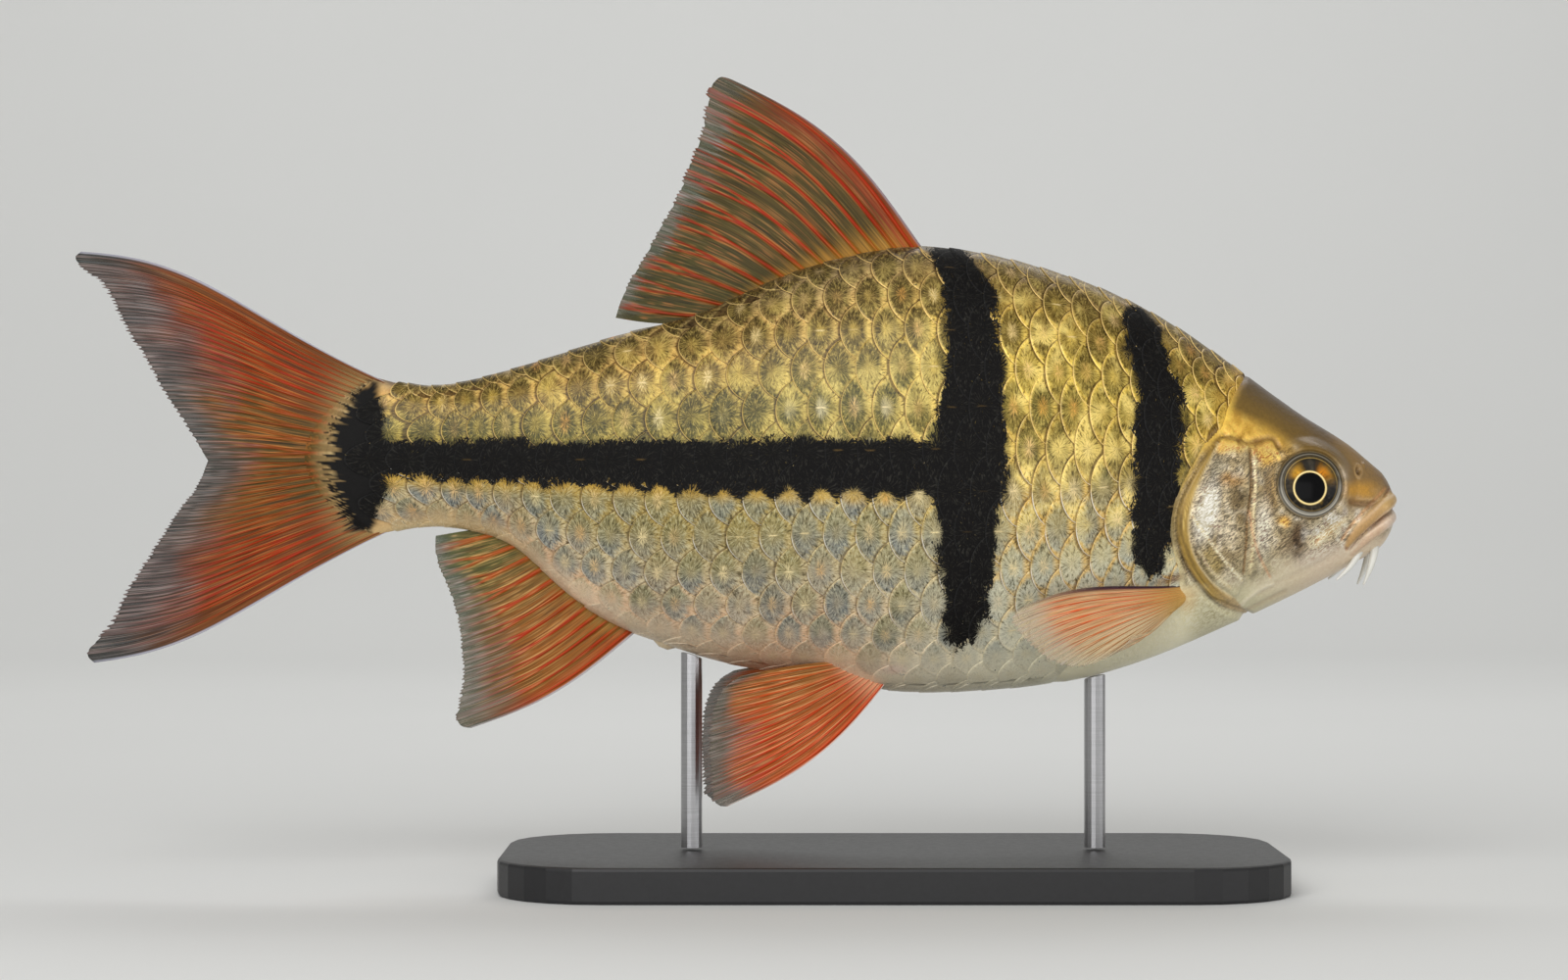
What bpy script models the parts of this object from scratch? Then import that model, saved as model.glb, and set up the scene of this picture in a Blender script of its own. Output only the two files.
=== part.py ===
"""Spanner barb, a life-size still model of the fish on a plain display stand.

+X points to the snout, +Z up, and the fish's right side faces -Y. The origin is on the floor,
under the middle of the whole length. All named sizes are in millimetres, and meshes in metres.
"""

import math

import bmesh
import bpy
import numpy as np
from mathutils import Matrix, Vector

MM = 0.001
GAP = 0.3
SIDES = {"right": -1, "left": 1}
CUT_REACH = 30.0
SHARP_ANGLE = 40.0

# The body's outline in the middle plane, as (x, z) from the tail stalk to the snout
BACK_LINE = [
    (-40.8, 57.7), (-35.1, 56.6), (-29.4, 57.4), (-20.9, 59.9), (-11.2, 62.9), (-4.5, 64.7),
    (0.5, 66.9), (5.8, 69.2), (13.0, 71.3), (20.0, 72.3), (26.5, 71.8), (33.5, 70.2),
    (43.5, 66.6), (54.9, 59.8), (65.3, 52.4), (70.0, 49.3), (72.6, 47.1), (74.9, 45.6),
]
BELLY_LINE = [
    (-40.8, 39.5), (-35.1, 40.5), (-29.5, 39.9), (-25.4, 38.3), (-20.4, 33.9), (-14.5, 29.7),
    (-6.9, 26.8), (-1.2, 25.1), (8.0, 23.6), (17.5, 22.0), (27.2, 22.0), (38.8, 23.4),
    (47.4, 26.0), (55.8, 29.6), (61.5, 32.2), (67.2, 35.1), (71.2, 37.3), (74.9, 39.7),
]
# Half of the body's width, and the height share of its widest place, from tail to snout
HALF_WIDTHS = [
    (-40.8, 1.6), (-34.0, 3.0), (-26.0, 4.3), (-18.0, 5.6), (-8.0, 7.3), (2.0, 8.8),
    (12.0, 9.8), (22.0, 10.3), (32.0, 10.3), (42.0, 9.9), (52.0, 9.0), (60.0, 7.7),
    (66.0, 6.4), (70.0, 5.2), (74.9, 3.9),
]
WIDEST_SHARES = [(-40.8, 0.50), (-26.0, 0.49), (0.0, 0.46), (25.0, 0.45), (50.0, 0.46), (74.9, 0.5)]
BACK_FULLNESS = 1.85
BELLY_FULLNESS = 2.15

SNOUT_TIP_X = 74.45
SNOUT_ROUND = 1.9
SNOUT_FLAT = 0.02
STALK_END_X = -40.8
STALK_END_BOW = 5.6
STALK_BOW_LENGTH = 8.0
STALK_CUT_X = -27.0
HEAD_START_X = 46.0
TRUNK_RINGS = 27
HEAD_RINGS = 22
STALK_RINGS = 8
BODY_COLUMNS = 32
SNOUT_CROWDING = 0.6

# The cut between head and trunk, from above the nape down to below the throat
HEAD_BACK = [
    (61.0, 82.0), (60.2, 60.0), (57.6, 54.5), (55.6, 50.5), (53.8, 47.0), (52.9, 43.0),
    (53.0, 38.5), (54.4, 34.8), (56.4, 31.6), (57.8, 26.0), (58.4, 14.0),
]
HEAD_REGION_FRONT = [(90.0, 14.0), (90.0, 82.0)]
HEAD_BACK_POINTS = 22

# A gill cover's outline, from its upper front corner down the groove and up the free rear edge
COVER_OUTLINE = [
    (56.2, 50.6), (57.2, 49.3), (57.3, 46.4), (57.1, 42.5), (56.8, 38.1), (56.5, 34.8),
    (55.5, 32.7), (53.6, 32.6), (51.8, 34.2), (50.2, 36.4), (49.2, 38.9), (48.9, 41.5),
    (49.7, 44.4), (51.2, 47.1), (52.9, 49.4), (54.5, 50.8),
]
COVER_POINTS = 34
COVER_RINGS = (44.0, 66.0, 16)
COVER_INNER = 0.5
COVER_OUTER = 20.0
COVER_RISE = 0.28
COVER_DEPTH = 0.75

EYE_CENTRE = (64.1, 45.4)
EYE_RADIUS = 3.65
EYE_HALF_DEPTH = 2.6
EYE_SUNK = 1.7
EYE_SEGMENTS = 18
SOCKET_SEGMENTS = 20
ORBIT_RIM = 0.42
ORBIT_RISE = 0.1
ORBIT_SEGMENTS = (24, 6)

MOUTH_LINE = [(77.6, 43.5), (75.6, 43.1), (74.0, 42.5), (72.0, 41.2), (70.3, 39.7), (69.0, 38.1)]
MOUTH_GAPE = (0.6, 0.3)
MOUTH_POINTS = 9
# Each lip's middle line from the front to the corner, its radii, and how deep it lies in the skin
LIPS = {
    "upper": [(73.7, 43.9), (73.1, 43.2), (71.6, 42.1), (69.8, 40.4), (68.5, 38.6)],
    "lower": [(73.6, 41.7), (73.1, 41.2), (71.9, 40.2), (70.5, 38.9), (69.3, 37.6)],
}
LIP_RADII = {"upper": [0.95, 0.95, 0.85, 0.7, 0.5], "lower": [0.9, 0.85, 0.7, 0.55, 0.4]}
LIP_INSET = 0.35
LIP_POINTS = 21
NOSTRIL = (69.8, 46.9)
NOSTRIL_SIZE = (0.4, 0.62)
PIT_SEGMENTS = 10

# Each barbel's root, bend and tip as (x, distance from the middle plane, z)
BARBELS = {
    "front": [(71.9, 1.6, 40.0), (71.9, 1.9, 38.0), (71.5, 2.1, 36.2), (70.6, 2.3, 34.0)],
    "rear": [(70.3, 2.6, 38.2), (69.3, 2.9, 36.5), (68.5, 3.1, 35.6), (67.4, 3.3, 34.6)],
}
BARBEL_RADII = {"front": [0.62, 0.5, 0.34, 0.13], "rear": [0.45, 0.36, 0.26, 0.13]}
BARBEL_POINTS = 7
TUBE_ROUNDNESS = 2

VENT = (-8.3, 27.3)
VENT_SIZE = (1.5, 0.8, 0.9)
VENT_SEGMENTS = 10

# Each fin: its root line inside the body, its free edge, and its first and last rays' bow off their
# chords (with where the bow peaks), all as seen from the side, first ray first. thick is the
# membrane's thickness and ridge a ray's height over it, each at the root and at the edge
FINS = {
    "dorsal_fin": {
        "root": [(21.6, 71.4), (13.1, 70.3), (5.3, 67.6), (-3.2, 63.8)],
        "edge": [
            (-0.6, 91.3), (-2.3, 91.6), (-3.6, 89.9), (-4.2, 86.4), (-5.5, 82.4), (-7.2, 78.0),
            (-9.2, 74.2), (-10.8, 71.2), (-12.5, 68.2), (-13.8, 64.3),
        ],
        "bow": (2.6, -0.4), "peak": 1.1, "rays": 12, "rows": 7, "wave": 0.5,
        "thick": (0.9, 0.5), "ridge": (0.28, 0.12),
    },
    "anal_fin": {
        "root": [(-10.6, 29.4), (-15.4, 31.8), (-21.0, 36.2), (-27.0, 40.8)],
        "edge": [
            (-30.2, 17.8), (-31.8, 18.3), (-31.9, 20.0), (-31.3, 23.2), (-31.4, 27.0), (-31.9, 30.6),
            (-32.9, 33.7), (-34.2, 37.4), (-34.2, 39.6),
        ],
        "bow": (-1.4, 0.0), "peak": 1.1, "rays": 10, "rows": 6, "wave": -0.4,
        "thick": (0.8, 0.5), "ridge": (0.26, 0.12),
    },
    "caudal_fin_upper": {
        "root": [(-38.6, 56.5), (-41.4, 55.4), (-43.6, 52.6), (-44.6, 48.35)],
        "edge": [
            (-74.4, 71.8), (-75.1, 71.2), (-72.9, 68.6), (-70.6, 64.8), (-67.9, 60.4), (-65.6, 56.4),
            (-62.9, 52.4), (-60.0, 48.25),
        ],
        "bow": (2.3, 0.0), "peak": 1.9, "rays": 9, "rows": 7, "wave": 0.5,
        "thick": (1.6, 0.5), "ridge": (0.24, 0.12),
    },
    "caudal_fin_lower": {
        "root": [(-44.6, 48.05), (-43.8, 44.6), (-41.6, 41.6), (-38.4, 40.6)],
        "edge": [
            (-60.0, 47.95), (-61.3, 45.4), (-63.6, 42.4), (-65.9, 38.8), (-68.6, 34.8),
            (-70.3, 31.8), (-72.2, 28.6), (-73.8, 26.1), (-72.9, 25.2),
        ],
        "bow": (0.0, -1.9), "peak": 1.9, "rays": 9, "rows": 7, "wave": -0.5,
        "thick": (1.6, 0.5), "ridge": (0.24, 0.12),
    },
}
PELVIC_FIN = {
    "root": [(17.3, 23.8), (15.9, 24.4), (14.3, 25.0), (12.4, 25.6)],
    "edge": [
        (-1.1, 9.3), (-2.6, 9.6), (-3.1, 11.4), (-3.3, 13.9), (-3.3, 16.9), (-2.9, 19.8),
        (-1.8, 22.3), (0.6, 24.0),
    ],
    "bow": (-1.9, 0.3), "peak": 1.0, "rays": 9, "rows": 6,
    "thick": (0.9, 0.5), "ridge": (0.24, 0.12),
}
PELVIC_ROOT_Y = (2.4, 4.0)
PELVIC_SPLAY = 2.6
PELVIC_TRAIL = 1.1
PECTORAL_FIN = {
    "root": [(48.9, 34.3), (49.3, 33.9), (49.7, 33.4), (50.1, 32.9)],
    "edge": [
        (31.5, 31.9), (30.3, 30.4), (31.1, 28.9), (32.8, 27.2), (35.0, 25.7), (37.8, 25.3),
        (40.3, 26.0), (42.0, 27.0), (43.7, 28.7),
    ],
    "bow": (0.9, -0.5), "peak": 1.0, "rays": 12, "rows": 6,
    "thick": (0.9, 0.5), "ridge": (0.22, 0.12),
}
PECTORAL_SUNK = 1.0
PECTORAL_TIP_Y = 12.6
WAVE_LENGTH = 1.4
RAY_HALF_WIDTH = 0.24
RIDGE_STEEPNESS = 0.2

STAND_BASE = (88.0, 44.0, 4.0)
STAND_CENTRE_X = 17.5
STAND_CORNER = 12.0
STAND_CORNER_POINTS = 7
STAND_EDGE = 0.8
STAND_EDGE_STEPS = 2
STAND_EDGE_ANGLE = 50.0
ROD_RADIUS = 1.2
ROD_SEGMENTS = 16
ROD_REACH = 3.0
RODS = {"front": 40.5, "rear": -5.2}

# Colour, roughness and metalness of each kind of surface
FINISHES = {
    "head": ((0.5, 0.38, 0.16), 0.3, 0.2),
    "trunk": ((0.55, 0.45, 0.18), 0.3, 0.3),
    "tail_stalk": ((0.5, 0.4, 0.16), 0.3, 0.3),
    "gill_cover": ((0.72, 0.66, 0.5), 0.25, 0.4),
    "eye": ((0.03, 0.025, 0.02), 0.05, 0.0),
    "barbel": ((0.75, 0.7, 0.6), 0.35, 0.0),
    "fin": ((0.7, 0.2, 0.08), 0.35, 0.0),
    "stand_base": ((0.03, 0.03, 0.03), 0.5, 0.0),
    "stand_rod": ((0.6, 0.6, 0.62), 0.3, 1.0),
}


def clear_scene():
    """Removes whatever the scene holds, so that only the model is left."""
    for thing in list(bpy.data.objects):
        bpy.data.objects.remove(thing)


def new_collection(name):
    """A collection linked to the scene."""
    made = bpy.data.collections.new(name)
    bpy.context.scene.collection.children.link(made)
    return made


def spline(knots):
    """A cubic curve through (place, value) knots whose second derivative is continuous."""
    xs = np.array([k[0] for k in knots], float)
    ys = np.array([k[1] for k in knots], float)
    count = len(xs)
    step = np.diff(xs)
    slope = np.diff(ys) / step
    system = np.eye(count)
    right = np.zeros(count)
    for i in range(1, count - 1):
        system[i, i - 1:i + 2] = (step[i - 1], 2 * (step[i - 1] + step[i]), step[i])
        right[i] = 6 * (slope[i] - slope[i - 1])
    bend = np.linalg.solve(system, right)

    def value(x):
        x = np.clip(np.asarray(x, float), xs[0], xs[-1])
        i = np.clip(np.searchsorted(xs, x) - 1, 0, count - 2)
        before = xs[i + 1] - x
        after = x - xs[i]
        cubic = (bend[i] * before**3 + bend[i + 1] * after**3) / (6 * step[i])
        line = (ys[i] / step[i] - bend[i] * step[i] / 6) * before
        return cubic + line + (ys[i + 1] / step[i] - bend[i + 1] * step[i] / 6) * after

    return value


def curve_through(points):
    """A smooth curve through points of any dimension, read by its share of the way from 0 to 1."""
    points = np.array(points, float)
    along = np.concatenate([[0], np.cumsum(np.linalg.norm(np.diff(points, axis=0), axis=1))])
    parts = [spline(list(zip(along / along[-1], points[:, k]))) for k in range(points.shape[1])]
    return lambda share: np.stack([part(share) for part in parts], axis=-1)


def smooth_line(knots, count):
    """An open smooth line through knots, read at even shares of its length."""
    return curve_through(knots)(np.linspace(0, 1, count))


def smooth_outline(knots, count):
    """A closed smooth outline through knots, read at even shares of its length."""
    return curve_through(knots + knots[:1])(np.linspace(0, 1, count, endpoint=False))


def side_normals(line, closed):
    """Unit normals of a line in the plane, to the left of its way."""
    ahead = np.roll(line, -1, axis=0) - np.roll(line, 1, axis=0) if closed else np.gradient(line, axis=0)
    normal = np.stack([-ahead[:, 1], ahead[:, 0]], axis=1)
    return normal / np.linalg.norm(normal, axis=1)[:, None]


back = spline(BACK_LINE)
belly = spline(BELLY_LINE)
half_width = spline(HALF_WIDTHS)
widest_share = spline(WIDEST_SHARES)


def section(x):
    """Half width, widest height, and the rise and drop from it, of the body's section at x."""
    into_tip = np.clip(x - SNOUT_TIP_X + SNOUT_ROUND, 0, SNOUT_ROUND) / SNOUT_ROUND
    round_off = np.sqrt(1 - into_tip**2)
    top = back(x)
    bottom = belly(x)
    middle = bottom + widest_share(x) * (top - bottom)
    return half_width(x) * round_off, middle, (top - middle) * round_off, (middle - bottom) * round_off


def body_point(x, turn):
    """The body's surface: a superellipse at x, with turn from 0 on the left side over the back."""
    width, middle, rise, drop = section(x)
    cosine = np.cos(turn)
    sine = np.sin(turn)
    fullness = np.where(sine > 0, BACK_FULLNESS, BELLY_FULLNESS)
    y = width * np.sign(cosine) * np.abs(cosine) ** (2 / fullness)
    lift = np.sign(sine) * np.abs(sine) ** (2 / fullness)
    z = middle + lift * np.where(sine > 0, rise, drop)
    into_end = np.clip((STALK_END_X + STALK_BOW_LENGTH - x) / STALK_BOW_LENGTH, 0, 1)
    return np.stack([x - STALK_END_BOW * into_end**1.5 * (1 - lift**2), y, z], axis=-1)


def side_y(x, z):
    """How far the body's surface is from the middle plane at x and z."""
    width, middle, rise, drop = section(x)
    above = z > middle
    fullness = np.where(above, BACK_FULLNESS, BELLY_FULLNESS)
    share = np.clip(np.abs(z - middle) / np.where(above, rise, drop), 0, 1)
    return width * (1 - share**fullness) ** (1 / fullness)


def new_object(name, mesh, collection):
    """An object that holds the mesh, in the collection."""
    thing = bpy.data.objects.new(name, mesh)
    collection.objects.link(thing)
    return thing


def paint(thing, kind):
    """Gives the object one Principled material of its own, with the finish of its kind."""
    colour, roughness, metallic = FINISHES[kind]
    material = bpy.data.materials.new(thing.name + "_finish")
    material.use_nodes = True
    shader = material.node_tree.nodes["Principled BSDF"]
    shader.inputs["Base Color"].default_value = (*colour, 1.0)
    shader.inputs["Roughness"].default_value = roughness
    shader.inputs["Metallic"].default_value = metallic
    thing.data.materials.clear()
    thing.data.materials.append(material)


def outward(mesh, merge=0.0):
    """Merges points closer than merge, and turns the mesh's faces to point out."""
    edit = bmesh.new()
    edit.from_mesh(mesh)
    if merge:
        bmesh.ops.remove_doubles(edit, verts=edit.verts, dist=merge * MM)
    bmesh.ops.recalc_face_normals(edit, faces=edit.faces)
    edit.to_mesh(mesh)
    edit.free()
    return mesh


def mesh_of(name, points, faces):
    """A mesh from millimetre points, with its faces pointing out."""
    mesh = bpy.data.meshes.new(name)
    mesh.from_pydata((np.asarray(points) * MM).tolist(), [], faces)
    return outward(mesh)


def body_mesh(name, places, inflate=0.0):
    """The body's loft over rings at the given places, swollen by inflate along its own normals.
    A fan to the ring's middle closes each end."""
    turns = np.linspace(0, 2 * math.pi, BODY_COLUMNS, endpoint=False)
    rings = body_point(places[:, None], turns[None, :])
    rows, columns, _ = rings.shape
    points = np.concatenate([rings.reshape(-1, 3), rings[:1].mean(axis=1), rings[-1:].mean(axis=1)])
    hub = rows * columns
    faces = []
    for j in range(columns):
        k = (j + 1) % columns
        faces += [(i * columns + j, i * columns + k, (i + 1) * columns + k) for i in range(rows - 1)]
        faces += [(i * columns + j, (i + 1) * columns + k, (i + 1) * columns + j) for i in range(rows - 1)]
        faces += [(hub, k, j), (hub + 1, hub - columns + j, hub - columns + k)]
    mesh = mesh_of(name, points, faces)
    normals = [vertex.normal.copy() for vertex in mesh.vertices]
    for vertex, normal in zip(mesh.vertices, normals):
        vertex.co += normal * inflate * MM
    return mesh


def trunk_places():
    """Where the rings of the trunk stand."""
    return np.linspace(STALK_CUT_X, HEAD_START_X, TRUNK_RINGS, endpoint=False)


def head_places():
    """Where the rings of the head stand, closer together towards the snout."""
    share = np.linspace(0, 1, HEAD_RINGS)
    share = SNOUT_CROWDING * np.sin(share * math.pi / 2) + (1 - SNOUT_CROWDING) * share
    return HEAD_START_X + (SNOUT_TIP_X - SNOUT_FLAT - HEAD_START_X) * share


def stalk_places():
    """Where the rings of the tail stalk stand."""
    return np.linspace(STALK_END_X, STALK_CUT_X - GAP, STALK_RINGS)


def boolean(thing, other, operation):
    """Cuts, joins or intersects thing with an object or a collection, and keeps the result."""
    modifier = thing.modifiers.new("boolean", "BOOLEAN")
    modifier.operation = operation
    if isinstance(other, bpy.types.Collection):
        modifier.operand_type = "COLLECTION"
        modifier.collection = other
    else:
        modifier.object = other
    thing.data = as_mesh(thing)
    thing.modifiers.clear()


def as_mesh(thing):
    """The evaluated mesh of an object or a curve."""
    bpy.context.view_layer.update()
    graph = bpy.context.evaluated_depsgraph_get()
    return bpy.data.meshes.new_from_object(thing.evaluated_get(graph))


def keep_largest(thing):
    """Keeps only the largest of the mesh's closed surfaces."""
    edit = bmesh.new()
    edit.from_mesh(thing.data)
    left = set(edit.faces)
    groups = []
    while left:
        queue = [left.pop()]
        group = list(queue)
        while queue:
            near = {face for edge in queue.pop().edges for face in edge.link_faces if face in left}
            left -= near
            group += near
            queue += near
        groups.append(group)
    groups.sort(key=lambda group: sum(face.calc_area() for face in group))
    extra = [face for group in groups[:-1] for face in group]
    bmesh.ops.delete(edit, geom=extra, context="FACES")
    edit.to_mesh(thing.data)
    edit.free()


def tidy(thing):
    """Keeps the largest surface, merges points that a cut left almost together, and shades smooth."""
    keep_largest(thing)
    edit = bmesh.new()
    edit.from_mesh(thing.data)
    bmesh.ops.dissolve_degenerate(edit, dist=0.01 * MM, edges=edit.edges)
    bmesh.ops.triangulate(edit, faces=edit.faces)
    edit.to_mesh(thing.data)
    edit.free()
    thing.data.shade_smooth()
    thing.data.set_sharp_from_angle(angle=math.radians(SHARP_ANGLE))


def flat_solid(name, outline, thickness, collection):
    """A flat outline in the XY plane, filled, and extruded by half the thickness each way."""
    curve = bpy.data.curves.new(name, "CURVE")
    curve.dimensions = "2D"
    curve.fill_mode = "BOTH"
    curve.extrude = thickness / 2 * MM
    line = curve.splines.new("POLY")
    line.points.add(len(outline) - 1)
    for point, (x, y) in zip(line.points, outline):
        point.co = (x * MM, y * MM, 0, 1)
    line.use_cyclic_u = True
    shape = new_object(name, curve, collection)
    mesh = outward(as_mesh(shape), 0.001)
    bpy.data.objects.remove(shape)
    return new_object(name, mesh, collection)


def side_prism(name, outline, inner, outer, side, collection):
    """A side-view outline extruded across the fish, from inner to outer on one side of it."""
    solid = flat_solid(name, outline, outer - inner, collection)
    upright = Matrix.Rotation(math.pi / 2, 4, "X")
    solid.data.transform(Matrix.Translation((0, side * (inner + outer) / 2 * MM, 0)) @ upright)
    return solid


def across_prism(name, outline, collection):
    """A side-view outline extruded right through the fish."""
    return side_prism(name, outline, -CUT_REACH, CUT_REACH, SIDES["left"], collection)


def tube(name, path, radii, collection, count):
    """A tapered round bar along a smooth path, as a welded mesh."""
    way = smooth_line(path, count)
    widths = np.interp(np.linspace(0, 1, count), np.linspace(0, 1, len(radii)), radii)
    curve = bpy.data.curves.new(name, "CURVE")
    curve.dimensions = "3D"
    curve.bevel_depth = MM
    curve.bevel_resolution = TUBE_ROUNDNESS
    curve.use_fill_caps = True
    line = curve.splines.new("POLY")
    line.points.add(count - 1)
    for point, place, width in zip(line.points, way, widths):
        point.co = (*(place * MM), 1)
        point.radius = width
    shape = new_object(name, curve, collection)
    mesh = outward(as_mesh(shape), 0.001)
    bpy.data.objects.remove(shape)
    return new_object(name, mesh, collection)


def placed(thing, name, matrix, collection):
    """Moves a new primitive's mesh by the matrix, and the object into the collection."""
    thing.data.transform(matrix)
    thing.matrix_world = Matrix()
    thing.name = name
    thing.data.name = name
    for other in list(thing.users_collection):
        other.objects.unlink(thing)
    collection.objects.link(thing)
    return thing


def facing(centre, aim):
    """A matrix that puts the origin at centre, in millimetres, and turns +Z to aim."""
    turned = aim.to_track_quat("Z", "Y").to_matrix().to_4x4()
    return Matrix.Translation(centre * MM) @ turned


def ball(name, sizes, centre, aim, collection, segments):
    """A ball with three half sizes, the third along aim."""
    bpy.ops.mesh.primitive_uv_sphere_add(segments=segments, ring_count=segments // 2, radius=MM)
    matrix = facing(centre, aim) @ Matrix.Diagonal((*sizes, 1))
    return placed(bpy.context.object, name, matrix, collection)


def surface_at(x, z, side):
    """A point of the body's surface, with its outward normal."""
    here = side_y(x, z)
    slope_x = side_y(x + 0.5, z) - side_y(x - 0.5, z)
    slope_z = side_y(x, z + 0.5) - side_y(x, z - 0.5)
    return Vector((x, side * here, z)), Vector((-slope_x, side, -slope_z)).normalized()


def eye_pose(side):
    """An eye's centre and the way it looks: out of the head, a little less turned than the skin."""
    point, normal = surface_at(*EYE_CENTRE, side)
    aim = (normal + Vector((0, side, 0))).normalized()
    return Vector((EYE_CENTRE[0], point.y - side * EYE_SUNK, EYE_CENTRE[1])), aim


def orbit_rim(side, collection):
    """The low round rim of skin that holds the eye."""
    centre, aim = eye_pose(side)
    around, across = ORBIT_SEGMENTS
    bpy.ops.mesh.primitive_torus_add(
        major_radius=(EYE_RADIUS + ORBIT_RIM / 2) * MM, minor_radius=ORBIT_RIM * MM,
        major_segments=around, minor_segments=across,
    )
    matrix = facing(centre + aim * (EYE_SUNK - ORBIT_RISE), aim)
    return placed(bpy.context.object, "orbit_rim", matrix, collection)


def lip(name, collection):
    """A lip: one bar from a corner of the mouth round the snout to the other corner."""
    line = LIPS[name]
    half = [(x, side_y(x, z) - LIP_INSET, z) for x, z in line[:0:-1]]
    front_x, front_z = line[0]
    path = half + [(front_x, 0, front_z)] + [(x, -y, z) for x, y, z in half[::-1]]
    radii = LIP_RADII[name]
    return tube(name + "_lip", path, radii[:0:-1] + radii, collection, LIP_POINTS)


def mouth_slot(collection):
    """The gap between the lips, a thin curved slot that runs through the snout."""
    line = smooth_line(MOUTH_LINE, MOUTH_POINTS)
    reach = side_normals(line, False) * np.linspace(*MOUTH_GAPE, len(line))[:, None] / 2
    outline = (line + reach).tolist() + (line - reach)[::-1].tolist()
    return across_prism("mouth_slot", outline, collection)


def nostril_pit(side, collection):
    """A shallow oval pit on the snout."""
    point, normal = surface_at(*NOSTRIL, side)
    width, height = NOSTRIL_SIZE
    return ball("nostril", (width, height, height), point, normal, collection, PIT_SEGMENTS)


def head_region(shift):
    """The side-view outline of all that lies ahead of the head's rear cut, moved back by shift."""
    line = smooth_line(HEAD_BACK, HEAD_BACK_POINTS)
    return (line - np.array([shift, 0])).tolist() + HEAD_REGION_FRONT


def cover_region(grow):
    """The side-view outline of a gill cover, grown by a distance."""
    line = smooth_outline(COVER_OUTLINE, COVER_POINTS)
    return (line + grow * side_normals(line, True)).tolist()


def cover_recess(side, helpers):
    """The space that a gill cover and the gap round it take out of the head and trunk."""
    places = np.linspace(*COVER_RINGS)
    floor = new_object("recess_floor", body_mesh("recess_floor", places, -COVER_DEPTH - GAP), helpers)
    recess = side_prism("recess", cover_region(GAP), COVER_INNER, COVER_OUTER, side, helpers)
    boolean(recess, floor, "DIFFERENCE")
    return recess


def make_gill_cover(name, side, helpers, fish):
    """A gill cover: a bent plate that stands a little proud, over its recess."""
    places = np.linspace(*COVER_RINGS)
    outside = new_object("cover_outside", body_mesh("cover_outside", places, COVER_RISE), helpers)
    inside = new_object("cover_inside", body_mesh("cover_inside", places, -COVER_DEPTH), helpers)
    cover = side_prism("gill_cover_" + name, cover_region(0), COVER_INNER, COVER_OUTER, side, fish)
    boolean(cover, outside, "INTERSECT")
    boolean(cover, inside, "DIFFERENCE")
    tidy(cover)
    paint(cover, "gill_cover")


def make_head(body, recesses, helpers, fish):
    """The head from nape to snout, with lips, mouth, nostrils, eye rims and sockets."""
    head = new_object("head", body.data.copy(), fish)
    boolean(head, across_prism("head_region", head_region(0), helpers), "INTERSECT")
    raised = new_collection("raised")
    for name in LIPS:
        lip(name, raised)
    for side in SIDES.values():
        orbit_rim(side, raised)
    boolean(head, raised, "UNION")
    for thing in list(raised.objects):
        bpy.data.objects.remove(thing)
    bpy.data.collections.remove(raised)
    for side in SIDES.values():
        sizes = (EYE_RADIUS + GAP, EYE_RADIUS + GAP, EYE_HALF_DEPTH + GAP)
        socket = ball("socket", sizes, *eye_pose(side), helpers, SOCKET_SEGMENTS)
        boolean(head, socket, "DIFFERENCE")
        boolean(head, nostril_pit(side, helpers), "DIFFERENCE")
        boolean(head, recesses[side], "DIFFERENCE")
    boolean(head, mouth_slot(helpers), "DIFFERENCE")
    tidy(head)
    paint(head, "head")


def make_trunk(body, recesses, helpers, fish):
    """The trunk from the gill covers to the tail stalk, with the small swelling of the vent."""
    trunk = new_object("trunk", body.data.copy(), fish)
    boolean(trunk, across_prism("trunk_region", head_region(GAP), helpers), "DIFFERENCE")
    for side in SIDES.values():
        boolean(trunk, recesses[side], "DIFFERENCE")
    x, z = VENT
    vent = ball("vent", VENT_SIZE, Vector((x, 0, z)), Vector((0, 0, 1)), helpers, VENT_SEGMENTS)
    boolean(trunk, vent, "UNION")
    tidy(trunk)
    paint(trunk, "trunk")


def make_stalk(fish):
    """The tail stalk, whose end bows back into the root of the tail fin."""
    stalk = new_object("tail_stalk", body_mesh("tail_stalk", stalk_places()), fish)
    tidy(stalk)
    paint(stalk, "tail_stalk")


def make_eye(name, side, fish):
    """An eyeball, flattened along the way it looks."""
    sizes = (EYE_RADIUS, EYE_RADIUS, EYE_HALF_DEPTH)
    eye = ball("eye_" + name, sizes, *eye_pose(side), fish, EYE_SEGMENTS)
    eye.data.shade_smooth()
    paint(eye, "eye")


def make_barbels(name, side, clearance, fish):
    """The two soft feelers on one side of the chin."""
    for place, path in BARBELS.items():
        points = [(x, y * side, z) for x, y, z in path]
        barbel = tube("barbel_" + place + "_" + name, points, BARBEL_RADII[place], fish, BARBEL_POINTS)
        boolean(barbel, clearance, "DIFFERENCE")
        tidy(barbel)
        paint(barbel, "barbel")


def ray_columns(rays):
    """Where a fin's columns stand across it, and which of them run along the top of a ray."""
    middle = (np.arange(rays) + 0.5) / rays
    beside = RAY_HALF_WIDTH / rays
    columns = np.stack([middle - beside, middle, middle + beside], axis=1).ravel()
    crest = np.tile([0.0, 1.0, 0.0], rays)
    return np.concatenate([[0], columns, [1]]), np.concatenate([[0], crest, [0]])


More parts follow.
